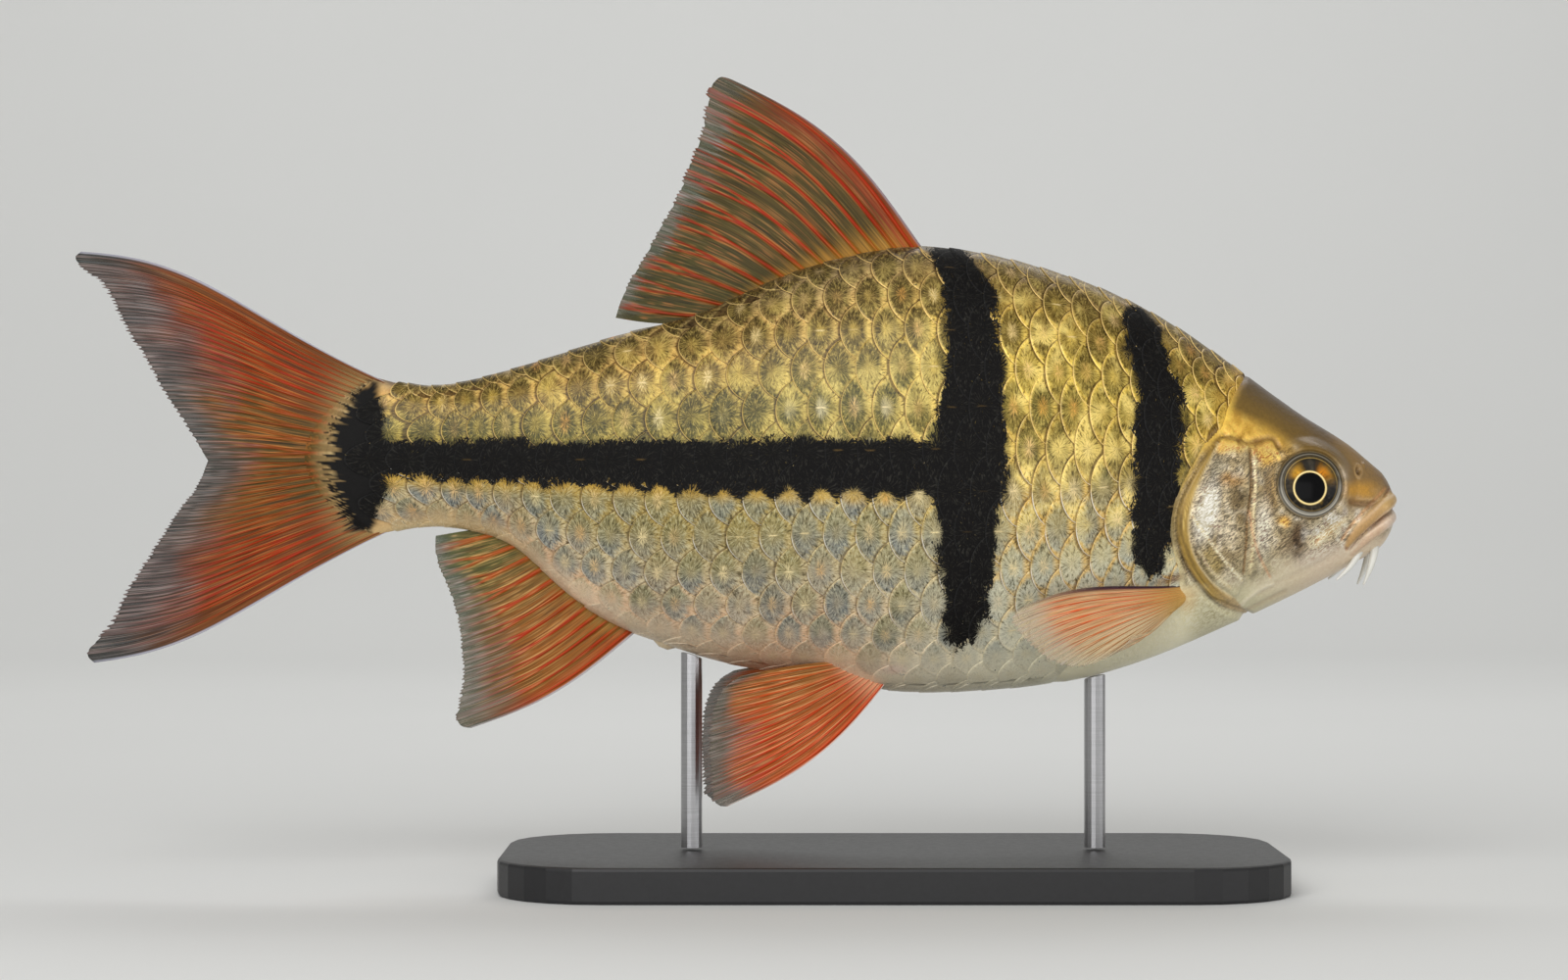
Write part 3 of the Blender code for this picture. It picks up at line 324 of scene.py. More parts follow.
# How many rays show in each fin and how they crowd toward its front, its colours, and where they lie.
# ray, tan: red and plain rays. gap, red_gap: plain and red membrane. end: rear margin. line: pale lines
# beside the rays, painted highlights along them. front: the front rays, over front_width. rim: the thin line
# along the front edge, over rim_width. see: the membrane's opacity. clear: how much thinner it gets at the
# margin. margin: where that starts. red: the red zone's middle and reach. root_reach: how far the root's
# colour reaches.
# shade: what all of it is multiplied by. red_tip: how far the front rays keep their colour to the tip
FIN_LOOKS = {
    "dorsal_fin": {
        "rays": 12, "crowding": 0.12, "root": (184, 134, 50), "ray": (166, 40, 14), "tan": (146, 56, 20),
        "gap": (72, 68, 26), "red_gap": (84, 70, 26), "end": (80, 86, 64), "line": (204, 132, 76),
        "rim": (150, 132, 142), "front": (172, 42, 12), "front_width": 0.14, "see": 0.96, "margin": 0.86,
        "red": (0.1, 0.95), "root_reach": 0.2, "rim_width": 0.014, "clear": 0.2, "shade": (246, 242, 234),
        "red_tip": 0.6,
    },
    "anal_fin": {
        "rays": 12, "crowding": 0.3, "root": (160, 130, 62), "ray": (178, 50, 14), "tan": (168, 86, 30),
        "gap": (94, 94, 46), "red_gap": (154, 92, 30), "end": (80, 92, 76), "line": (226, 178, 112),
        "rim": (190, 182, 190), "front": (178, 58, 20), "front_width": 0.1, "see": 0.96, "margin": 0.56,
        "red": (0.15, 0.85), "root_reach": 0.18, "rim_width": 0.016, "clear": 0.25, "shade": (248, 246, 240),
    },
    "caudal_fin_upper": {
        "rays": 14, "crowding": 0.36, "root": (162, 138, 88), "ray": (168, 42, 10), "tan": (138, 74, 24),
        "gap": (84, 70, 28), "red_gap": (118, 54, 14), "end": (50, 60, 62), "line": (208, 134, 68),
        "rim": (176, 180, 200), "front": (128, 70, 36), "front_width": 0.08, "see": 0.98, "margin": 0.56,
        "red": (0.3, 0.55), "root_reach": 0.24, "rim_width": 0.014, "clear": 0.15, "shade": (248, 242, 234),
    },
    "pelvic_fin": {
        "rays": 10, "crowding": 0.3, "root": (226, 172, 136), "ray": (202, 56, 16), "tan": (188, 92, 34),
        "gap": (152, 100, 46), "red_gap": (184, 88, 34), "end": (84, 98, 90), "line": (240, 188, 132),
        "rim": (236, 214, 208), "front": (206, 66, 26), "front_width": 0.1, "see": 0.96, "margin": 0.76,
        "red": (0.15, 0.9), "root_reach": 0.22, "rim_width": 0.018, "clear": 0.3, "shade": (254, 252, 246),
    },
    "pectoral_fin": {
        "rays": 15, "crowding": 0.3, "root": (202, 160, 84), "ray": (222, 92, 44), "tan": (176, 122, 72),
        "gap": (216, 192, 150), "red_gap": (222, 160, 104), "end": (210, 192, 156), "line": (250, 226, 184),
        "rim": (62, 36, 50), "front": (104, 60, 54), "front_width": 0.07, "see": 0.76, "margin": 0.7,
        "red": (0.2, 0.42), "root_reach": 0.4, "rim_width": 0.04, "clear": 0.6, "shade": (255, 255, 255),
    },
}
FIN_LOOKS["caudal_fin_lower"] = FIN_LOOKS["caudal_fin_upper"]
# How fins' rays split: where each of two splits starts and how far it spreads, as shares of the fin's
# length and of the rays' distance, and a ray's width at root and edge
RAY_SPLITS = {
    "dorsal_fin": (0.42, 0.18, 0.72, 0.09, 0.16, 0.06),
    "anal_fin": (0.38, 0.22, 0.7, 0.11, 0.22, 0.08),
    "caudal_fin_upper": (0.18, 0.24, 0.48, 0.12, 0.22, 0.07),
    "pelvic_fin": (0.25, 0.24, 0.55, 0.12, 0.22, 0.08),
    "pectoral_fin": (0.5, 0.2, 0.8, 0.1, 0.2, 0.1),
}
RAY_SPLITS["caudal_fin_lower"] = RAY_SPLITS["caudal_fin_upper"]
# The first and last rays of a fin that stay whole, in rays from its front and rear edges
PLAIN_EDGE = (0.9, 0.0)
PLAIN_EDGES = {"caudal_fin_upper": (0.8, -2.0), "caudal_fin_lower": (-2.0, 0.8)}

BARBELS = {
    "front": [(71.9, 1.6, 40.0), (71.9, 1.9, 38.0), (71.5, 2.1, 36.2), (70.6, 2.3, 34.0)],
    "rear": [(70.3, 2.6, 38.2), (69.3, 2.9, 36.5), (68.5, 3.1, 35.6), (67.4, 3.3, 34.6)],
}
BARBEL_RADII = {"front": [0.62, 0.5, 0.34, 0.1], "rear": [0.45, 0.36, 0.26, 0.1]}

CAMERA_PLACE = (5.28, -444.4, 44.78)
CAMERA_LENS = 90.0
# Each light's place, target, width and height in millimetres, and power
LIGHTS = {
    "key_light": ((-140, -480, 340), (5, 0, 45), (420, 300), 1.75),
    "fill_light": ((520, -330, 60), (5, 0, 45), (300, 300), 0.75),
    "low_light": ((-60, -520, 90), (5, 0, 35), (700, 170), 0.66),
    "back_light": ((60, 300, 420), (5, 0, 45), (400, 200), 0.5),
    "wall_light": ((0, 470, 640), (0, 860, 160), (1000, 200), 1.75),
}
SKY_COLOUR = (0.92, 0.9, 0.86, 1)
SKY_STRENGTH = 0.32
FLOOR_HALF = 900.0
FLOOR_BACK = 600.0
FLOOR_SWEEP = 320.0
FLOOR_HEIGHT = 900.0


# Number helpers

def srgb(red, green, blue):
    """A linear colour from display values of 0 to 255."""
    share = np.array([red, green, blue]) / 255
    return np.where(share <= 0.04045, share / 12.92, ((share + 0.055) / 1.055) ** 2.4)


def smooth(low, high, value):
    """0 below low and 1 above high, with a cubic ease between."""
    share = np.clip((value - low) / (high - low), 0, 1)
    return share * share * (3 - 2 * share)


def hill(distance, reach):
    """1 at no distance, easing to 0 at reach: the square of one less the squared share."""
    return np.clip(1 - (distance / reach) ** 2, 0, 1) ** 2


def mix(first, second, share):
    """Colours blended by a share for each point. Either may be one colour for all points."""
    share = np.asarray(share)[..., None]
    return first * (1 - share) + second * share


def painted(colour, *layers):
    """A colour under layers of (display colour, share), laid on one after the other."""
    for tone, share in layers:
        colour = mix(colour, srgb(*tone), share)
    return colour


def oval(x, z, centre, size):
    """1 at the centre of an oval in side view, easing to 0 at its edge. size is its half length and
    its half height."""
    return hill(np.hypot((x - centre[0]) / size[0], (z - centre[1]) / size[1]), 1.0)


def spread(share, values):
    """Values given at even shares of a way, read at shares of it."""
    return np.interp(share, np.linspace(0, 1, len(values)), values)


def unit(vectors):
    """Vectors, or one vector, at length 1."""
    return vectors / np.linalg.norm(vectors, axis=-1, keepdims=True)


def noise(points, cell, seed):
    """Smooth noise from -1 to 1: random values at the corners of cells, blended by cubic weights.
    cell is the cells' size, one number or one for each axis."""
    places = points / np.asarray(cell, float)
    corner = np.floor(places).astype(np.int64)
    part = places - corner
    part = part * part * (3 - 2 * part)
    total = np.zeros(points.shape[:-1])
    primes = np.array([374761393, 668265263, 2147483647][:points.shape[-1]], np.int64)
    for step in itertools.product((0, 1), repeat=points.shape[-1]):
        step = np.array(step)
        weight = np.prod(np.where(step, part, 1 - part), axis=-1)
        key = ((corner + step) * primes).sum(axis=-1) + seed * 1274126177
        key = (key ^ (key >> 13)) * 1274126177 & 0xFFFFFFFF
        key = (key ^ (key >> 16)) * 2246822519 & 0xFFFFFFFF
        total += weight * ((key ^ (key >> 15)) / 0xFFFFFFFF * 2 - 1)
    return total


def spline(knots):
    """A cubic curve through (place, value) knots whose second derivative is continuous."""
    xs = np.array([k[0] for k in knots], float)
    ys = np.array([k[1] for k in knots], float)
    count = len(xs)
    step = np.diff(xs)
    slope = np.diff(ys) / step
    system = np.eye(count)
    right = np.zeros(count)
    for i in range(1, count - 1):
        system[i, i - 1:i + 2] = (step[i - 1], 2 * (step[i - 1] + step[i]), step[i])
        right[i] = 6 * (slope[i] - slope[i - 1])
    bend = np.linalg.solve(system, right)

    def value(x):
        x = np.clip(np.asarray(x, float), xs[0], xs[-1])
        i = np.clip(np.searchsorted(xs, x) - 1, 0, count - 2)
        before = xs[i + 1] - x
        after = x - xs[i]
        cubic = (bend[i] * before**3 + bend[i + 1] * after**3) / (6 * step[i])
        line = (ys[i] / step[i] - bend[i] * step[i] / 6) * before
        return cubic + line + (ys[i + 1] / step[i] - bend[i + 1] * step[i] / 6) * after

    return value


def table(knots):
    """Straight runs between (place, value, ...) knots: a function that gives the last values."""
    knots = np.array(knots, float)
    if knots.shape[1] == 2:
        return lambda x: np.interp(x, knots[:, 0], knots[:, 1])
    return lambda x: [np.interp(x, knots[:, 0], knots[:, k]) for k in range(1, knots.shape[1])]


def curve_through(points):
    """A smooth curve through points of any dimension, read by its share of the way from 0 to 1."""
    points = np.array(points, float)
    along = np.concatenate([[0], np.cumsum(np.linalg.norm(np.diff(points, axis=0), axis=1))])
    parts = [spline(list(zip(along / along[-1], points[:, k]))) for k in range(points.shape[1])]
    return lambda share: np.stack([part(share) for part in parts], axis=-1)


def to_line(points, line):
    """Each point's distance to a run of straight pieces, and the nearest place's share along it."""
    best = np.full(points.shape[:-1], np.inf)
    share = np.zeros(points.shape[:-1])
    for i in range(len(line) - 1):
        ahead = line[i + 1] - line[i]
        along = np.clip(((points - line[i]) @ ahead) / (ahead @ ahead), 0, 1)
        away = np.linalg.norm(points - line[i] - along[..., None] * ahead, axis=-1)
        nearer = away < best
        best = np.where(nearer, away, best)
        share = np.where(nearer, (i + along) / (len(line) - 1), share)
    return best, share


def smooth_line(knots, count=24):
    """Points at even shares along a smooth line through knots."""
    return curve_through(knots)(np.linspace(0, 1, count))


def inside(points, outline):
    """Signed distance to a closed outline in side view, positive inside it."""
    ring = np.vstack([outline, outline[:1]])
    away, _ = to_line(points, ring)
    x, z = points[..., 0], points[..., 1]
    crossings = np.zeros(x.shape, int)
    for (x0, z0), (x1, z1) in zip(ring[:-1], ring[1:]):
        spans = (z0 > z) != (z1 > z)
        at = x0 + (z - z0) * (x1 - x0) / (z1 - z0 if z1 != z0 else 1)
        crossings += spans & (x < at)
    return np.where(crossings % 2 == 1, away, -away)


# The body's own surface

back = spline(BACK_LINE)
belly = spline(BELLY_LINE)
half_width = spline(HALF_WIDTHS)
widest_share = spline(WIDEST_SHARES)


def section(x):
    """Half width, widest height, and the rise and drop from it, of the body's section at x."""
    into_tip = np.clip(x - SNOUT_TIP_X + SNOUT_ROUND, 0, SNOUT_ROUND) / SNOUT_ROUND
    round_off = np.sqrt(1 - into_tip**2)
    top = back(x)
    bottom = belly(x)
    middle = bottom + widest_share(x) * (top - bottom)
    return half_width(x) * round_off, middle, (top - middle) * round_off, (middle - bottom) * round_off


def body_point(x, turn):
    """The body's surface: a superellipse at x, with turn from 0 on the left side over the back."""
    width, middle, rise, drop = section(x)
    cosine = np.cos(turn)
    sine = np.sin(turn)
    fullness = np.where(sine > 0, BACK_FULLNESS, BELLY_FULLNESS)
    y = width * np.sign(cosine) * np.abs(cosine) ** (2 / fullness)
    lift = np.sign(sine) * np.abs(sine) ** (2 / fullness)
    z = middle + lift * np.where(sine > 0, rise, drop)
    into_end = np.clip((STALK_END_X + STALK_BOW_LENGTH - x) / STALK_BOW_LENGTH, 0, 1)
    return np.stack([x - STALK_END_BOW * into_end**1.5 * (1 - lift**2), y, z], axis=-1)


def side_y(x, z):
    """How far the body's surface is from the middle plane at x and z."""
    width, middle, rise, drop = section(x)
    above = z > middle
    fullness = np.where(above, BACK_FULLNESS, BELLY_FULLNESS)
    share = np.clip(np.abs(z - middle) / np.maximum(np.where(above, rise, drop), 1e-6), 0, 1)
    return width * (1 - share**fullness) ** (1 / fullness)


def grid_normals(points, wraps):
    """Unit normals of a grid of points, from the cross of its two ways. wraps closes the columns."""
    along = np.gradient(points, axis=0)
    if wraps:
        across = np.roll(points, -1, axis=1) - np.roll(points, 1, axis=1)
    else:
        across = np.gradient(points, axis=1)
    normal = np.cross(across, along)
    return normal / np.maximum(np.linalg.norm(normal, axis=-1), 1e-9)[..., None]


def on_side(line):
    """A side-view line laid on the body's surface, as (x, distance from the middle plane, z)."""
    line = np.asarray(line)
    return np.stack([line[:, 0], side_y(line[:, 0], line[:, 1]), line[:, 1]], axis=1)


def eye_frame():
    """The left eye's place on the skin, the way it looks, and two ways across it."""
    x, z = EYE_CENTRE
    here = side_y(x, z)
    slope = np.array([side_y(x + 0.5, z) - side_y(x - 0.5, z), -1, side_y(x, z + 0.5) - side_y(x, z - 0.5)])
    aim = unit(np.array([0, 1, 0]) - unit(slope))
    level = unit(np.cross([0, 0, 1], aim))
    return np.array([x, here, z]), aim, level, np.cross(aim, level)


HEAD_REGION = np.vstack([smooth_line(BARE_EDGE, 60), [(90.0, 14.0), (90.0, 66.0)]])


def bare_share(x, z):
    """1 where the head is bare of scales, 0 where scales cover the body."""
    return smooth(-0.5, 0.5, inside(np.stack([x, z], axis=-1), HEAD_REGION))


# Mesh helpers

def new_piece(name, points, faces, material, replaced=()):
    """A smooth mesh piece from millimetre points and a list of arrays of faces with equal corners.
    It rides on the model's one body."""
    mesh = bpy.data.meshes.new(name)
    points = np.asarray(points, np.float64).reshape(-1, 3)
    mesh.vertices.add(len(points))
    mesh.vertices.foreach_set("co", (points * MM).ravel())
    corners = np.concatenate([block.ravel() for block in faces])
    sizes = np.concatenate([np.full(len(block), block.shape[1]) for block in faces])
    mesh.loops.add(len(corners))
    mesh.loops.foreach_set("vertex_index", corners.astype(np.int32))
    mesh.polygons.add(len(sizes))
    mesh.polygons.foreach_set("loop_start", (np.cumsum(sizes) - sizes).astype(np.int32))
    mesh.polygons.foreach_set("use_smooth", np.ones(len(sizes), bool))
    mesh.update(calc_edges=True)
    mesh.validate()
    piece = bpy.data.objects.new(name, mesh)
    bpy.context.scene.collection.objects.link(piece)
    mesh.materials.append(material)
    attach(piece, "root")
    if replaced:
        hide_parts(*replaced)
    return piece


def grid_faces(rows, columns, wraps=False, start=0):
    """The four-cornered faces of a grid of points, closed round its columns if it wraps."""
    row = np.arange(rows - 1)[:, None] * columns
    column = np.arange(columns if wraps else columns - 1)[None]
    beside = (column + 1) % columns
    faces = np.stack([row + column, row + beside, row + columns + beside, row + columns + column], axis=-1)
    return faces.reshape(-1, 4) + start


def fan_faces(hub, ring):
    """Triangles from a hub point to each pair of neighbours round a closed ring."""
    return np.stack([np.full(len(ring), hub), ring, np.roll(ring, -1)], axis=1)


def closed_tube(grid, first, last):
    """Points and faces of a tube made of rings of points, closed by a fan to a point at each end."""
    rows, columns, _ = grid.shape
    ring = np.arange(columns)
    hub = rows * columns
    points = np.concatenate([grid.reshape(-1, 3), [first, last]])
    ends = [fan_faces(hub, ring[::-1]), fan_faces(hub + 1, hub - columns + ring)]
    return points, [grid_faces(rows, columns, True)] + ends


def mirrored(points, faces, side):
    """A left-hand shape, or for the right side its mirror image with its faces turned back round."""
    if side > 0:
        return points, faces
    return points * np.array([1, -1, 1]), [block[:, ::-1] for block in faces]


def give_colour(piece, name, colours):
    """Stores a linear colour for each point."""
    full = np.ones((len(colours), 4))
    full[:, :3] = np.clip(colours, 0, 1)
    layer = piece.data.attributes.new(name, "FLOAT_COLOR", "POINT")
    layer.data.foreach_set("color", full.ravel())


def give_vector(piece, name, values):
    """Stores three numbers for each point."""
    layer = piece.data.attributes.new(name, "FLOAT_VECTOR", "POINT")
    layer.data.foreach_set("vector", np.asarray(values, float).ravel())


def give_map(piece, name, places):
    """A UV map from one place for each point."""
    layer = piece.data.uv_layers.new(name=name)
    corners = np.zeros(len(piece.data.loops), np.int32)
    piece.data.loops.foreach_get("vertex_index", corners)
    layer.data.foreach_set("uv", places[corners].ravel())


# Markings and colours, the same for skin and scales

def bar_share(centre, across, bar, fuzz, soft):
    """1 inside a black marking given as (place along it, low side, high side), 0.5 on its edge. centre
    is each point's place from side to side of it, across its place along it."""
    low, high = table(bar)(across)
    start, end = bar[0][0], bar[-1][0]
    beyond = np.maximum(start - across, across - end)
    depth = np.minimum(np.minimum(centre - low, high - centre), -beyond)
    return smooth(-soft, soft, depth + fuzz)


def black_share(points, soft=0.4):
    """How black each point's marking is, from its place in side view, over a soft edge: the most of
    three bars and a stripe whose edges are drawn by noise."""
    x, z = points[..., 0], points[..., 2]
    flat = np.stack([x, z], axis=-1)
    fuzz = 0.4 * noise(flat, (0.7, 1.1), 11) + 0.5 * noise(flat, (1.6, 1.9), 12)
    stripe_fuzz = 0.4 * noise(flat, (0.8, 0.9), 13) + 0.35 * noise(flat, (2.0, 1.5), 14)
    bars = [bar_share(x, z, bar, fuzz, soft) for bar in (FRONT_BAR, MIDDLE_BAR, TAIL_BAR)]
    return np.maximum.reduce([*bars, bar_share(z, x, STRIPE, stripe_fuzz, soft)])


# Colour by height from belly to back, for the rear body and for the front of the flank
REAR_SHADES = [
    (0.00, srgb(236, 216, 186)), (0.10, srgb(226, 196, 160)), (0.22, srgb(190, 166, 124)),
    (0.36, srgb(160, 142, 88)), (0.50, srgb(158, 138, 70)), (0.66, srgb(124, 112, 54)),
    (0.80, srgb(178, 148, 82)), (0.90, srgb(228, 184, 116)), (0.96, srgb(196, 166, 118)),
    (1.00, srgb(124, 110, 94)),
]
FRONT_SHADES = [
    (0.00, srgb(250, 244, 216)), (0.14, srgb(236, 228, 194)), (0.28, srgb(208, 196, 150)),
    (0.42, srgb(186, 158, 80)), (0.60, srgb(206, 170, 76)), (0.78, srgb(255, 218, 98)),
    (0.90, srgb(218, 178, 84)), (0.96, srgb(150, 124, 84)), (1.00, srgb(124, 110, 96)),
]


def shade_at(shades, height):
    """A colour read from (height, colour) knots."""
    places = [knot[0] for knot in shades]
    return np.stack([np.interp(height, places, [knot[1][k] for knot in shades]) for k in range(3)], axis=-1)


def height_share(x, z):
    """How high a point stands in the side view, from 0 at the belly line to 1 at the back line."""
    low = belly(x)
    return np.clip((z - low) / (back(x) - low), 0, 1)


def flank_colour(points):
    """The body's colour without scales or markings: shades by height that change from rear to front, a
    pink blush and a pale fold above the pelvic fin, a darker lower tail stalk and a tan tail root."""
    x, z = points[..., 0], points[..., 2]
    height = height_share(x, z) + 0.025 * noise(np.stack([x, z], axis=-1), 3.0, 21)
    height = np.clip(height, 0, 1)
    colour = mix(shade_at(REAR_SHADES, height), shade_at(FRONT_SHADES, height), smooth(4, 34, x))
    colour = painted(colour, ((206, 150, 112), 0.6 * oval(x, z, (4, 25.5), (15, 4))))
    colour = paint_axil(colour, x, z)
    colour = painted(colour, ((238, 204, 186), 0.7 * oval(x, z, (17.6, 24.6), (2.4, 0.9))))
    colour = mix(colour, colour * STALK_TINT, smooth(-18, -30, x) * smooth(0.5, 0.3, height))
    return painted(colour, ((170, 128, 68), 0.6 * smooth(-38, -46, x)))


def paint_axil(colour, x, z):
    """The ochre skin round the pectoral fin's root, and a brown painted shadow along the fold that
    slopes above it.
    """
    root = oval(x, z, (50.4, 32.6), (2.0, 2.4))
    # Painted shadow of the fold above the fin's root
    fold_shadow = oval(x, z - 0.2 * (x - 48.4), (48.4, 34.9), (2.8, 0.8))
    return painted(colour, ((206, 166, 98), 0.6 * root), ((128, 82, 34), 0.75 * fold_shadow))


BLACK = srgb(14, 13, 13)
EYE_SOCKET = srgb(60, 50, 40)


def tail_rays(places):
    """The tail fin's own colours and ray share at the nearest points of its root."""
    near = np.full(len(places), np.inf)
    colour = np.zeros((len(places), 3))
    ray = np.zeros(len(places))
    for name, edges in PLAIN_EDGES.items():
        look = FIN_LOOKS[name]
        flat, out, across, _, pattern, _ = fin_shape(FINS[name], look, RAY_SPLITS[name], edges)
        tones, _ = fin_colour(look, out, across, pattern, flat, edges[0])
        known = flat[:TAIL_ROOT_ROWS].reshape(-1, 2)
        away = np.linalg.norm(places[:, None] - known[None], axis=-1)
        nearest = away.argmin(axis=1)
        closer = away.min(axis=1) < near
        near = np.where(closer, away.min(axis=1), near)
        colour = np.where(closer[:, None], tones[:TAIL_ROOT_ROWS].reshape(-1, 3)[nearest], colour)
        ray = np.where(closer, pattern[0][:TAIL_ROOT_ROWS].reshape(-1)[nearest], ray)
    return colour, ray


# The skin

def skin_rings():
    """Where the skin's rings stand along the body, closer together at the tail's root, on the head and
    on the snout."""
    share = np.linspace(0, 1, TRUNK_RINGS, endpoint=False) ** TRUNK_CROWDING
    trunk = STALK_END_X + (HEAD_START_X - STALK_END_X) * share
    share = np.linspace(0, 1, HEAD_RINGS)
    share = SNOUT_CROWDING * np.sin(share * math.pi / 2) + (1 - SNOUT_CROWDING) * share
    return np.concatenate([trunk, HEAD_START_X + (SNOUT_TIP_X - SNOUT_FLAT - HEAD_START_X) * share])


def stalk_wedge(ring):
    """Rings that run on from the tail stalk's end and thin out over the root of the tail fin: each
    moves back by its share of the wedge's length, and its width eases to a thin edge."""
    length, left = STALK_WEDGE
    share = np.linspace(1, 0, WEDGE_RINGS, endpoint=False)[:, None]
    low, high = ring[:, 2].min(), ring[:, 2].max()
    bow = 1 - 0.55 * np.abs((ring[:, 2] - (low + high) / 2) * 2 / (high - low)) ** 2
    x = ring[:, 0] - length * share * bow
    y = ring[:, 1] * (1 - (1 - left / 1.6) * smooth(-0.3, 1.0, share))
    return np.stack([x, y, np.broadcast_to(ring[:, 2], x.shape)], axis=-1)


def wedge_paint(wedge):
    """The skin over the tail fin's root: the rays' own colours, tanner near the body, with the black
    bar's edge running out in spikes along the rays. Also gives how much of it is ray."""
    places = wedge[..., [0, 2]].reshape(-1, 2)
    rays, ray = tail_rays(places)
    out = smooth(-45.2, -49.0, places[:, 0] - 0.35 * np.abs(places[:, 1] - FORK_Z))
    gap = 0.65 * smooth(0.4, 0.0, ray)
    colour = painted(
        mix(srgb(172, 148, 102), rays, out),
        ((206, 188, 142), 0.5 * ray * (1 - out)), ((96, 74, 46), gap * (1 - out)),
    )
    return mix(colour, BLACK, root_black(places, ray)), ray


def root_black(places, ray):
    """How black the tail fin's root is: the bar's share, drawn out in spikes of differing length
    between the rays."""
    x, z = places[..., 0], places[..., 1]
    turn = np.arctan2(z - FORK_Z, -30.0 - x)
    spike = noise(np.stack([turn * 130, 0 * x], axis=-1), 1.0, 15)
    spike = spike + 0.6 * noise(np.stack([turn * 290, x], axis=-1), 1.0, 16)
    moved = x + 1.1 * spike - 0.8 * (0.5 - ray)
    return black_share(np.stack([moved, 0 * x, z], axis=-1), 0.3)


def orbit_moved(points):
    """Draws the skin round each eye onto the eye's own plane, with a raised rim, and sinks a pit
    for the eyeball inside it."""
    centre, aim, _, _ = eye_frame()
    side = np.sign(points[..., 1:2])
    folded = points * np.concatenate([np.ones_like(side), side, np.ones_like(side)], axis=-1)
    reach = folded - centre
    level = reach @ aim
    radius = np.linalg.norm(reach - level[..., None] * aim, axis=-1)
    rim = ORBIT_RISE * hill(radius - EYE_RADIUS - 0.26, 0.42)
    pit = -ORBIT_DEPTH * smooth(EYE_RADIUS + 0.08, EYE_RADIUS - 0.4, radius)
    pull = smooth(EYE_RADIUS + 2.0, EYE_RADIUS + 0.1, radius) * (np.abs(level) < 6)
    moved = folded + aim * ((rim + pit - level) * pull)[..., None]
    return np.concatenate([moved[..., :1], moved[..., 1:2] * side, moved[..., 2:]], axis=-1)


def head_relief(folded):
    """How far the head's skin stands out at each point: the gill cover's plate and its free edge,
    grooves and ridges along the named lines, lips, mouth and nostril. folded has the right side
    mirrored onto the left."""
    flat = folded[..., [0, 2]]
    plate = inside(flat, smooth_line(COVER_OUTLINE + COVER_OUTLINE[:1], 72)[:-1])
    edge, _ = to_line(flat, smooth_line(COVER_EDGE, 48))
    rim, _ = to_line(flat, smooth_line(COVER_RIM_INNER))
    rise = 0.3 * smooth(-0.14, 0.1, plate)
    rise = rise - 0.36 * hill(edge - 0.25, 0.5) * smooth(0.12, -0.05, plate)
    rise = rise - 0.12 * hill(rim, 0.3) + 0.06 * hill(rim - 0.55, 0.45) * smooth(-0.1, 0.1, plate)
    for line, depth, reach, _, _, _ in HEAD_LINES.values():
        rise = rise + depth * hill(to_line(flat, smooth_line(line))[0], reach)
    for name, line in LIPS.items():
        away, share = to_line(folded, lip_line(line))
        bulge = np.sqrt(np.clip(spread(share, LIP_RADII[name]) ** 2 - away**2, 0, None))
        bulge = bulge - spread(share, LIP_INSETS)
        rise = np.where(bulge > 0, np.maximum(rise, bulge), rise)
    away, share = to_line(folded, lip_line(MOUTH_LINE))
    rise = rise - (0.8 - 0.45 * share) * hill(away, 0.4 - 0.14 * share)
    return rise + nostril_relief(flat) + vent_relief(folded)


def nostril_away(flat):
    """Distance from the nostril's centre, 1 on its oval edge."""
    away = (flat - np.array(NOSTRIL)) / np.array(NOSTRIL_SIZE)
    return np.hypot(away[..., 0], away[..., 1])


def lip_line(line):
    """A line of the mouth in three dimensions: from the middle of the snout's front round one side
    to the corner, on the skin."""
    whole = on_side(smooth_line(line, 40))
    whole[0, 1] = 0
    return whole


def nostril_relief(flat):
    """An oval pit with a low rim, and a small flap that stands behind it."""
    x, z = NOSTRIL
    away = nostril_away(flat)
    flap = oval(flat[..., 0], flat[..., 1], (x + 0.75, z + 0.6), (0.35, 0.6))
    return 0.14 * hill(away - 1.3, 0.6) - 0.5 * hill(away, 1.1) + 0.24 * flap


def vent_relief(folded):
    """The small swelling of the vent, just ahead of the anal fin."""
    away = np.linalg.norm((folded - np.array(VENT)) / np.array(VENT_SIZE), axis=-1)
    return 0.85 * hill(away, 1.0)


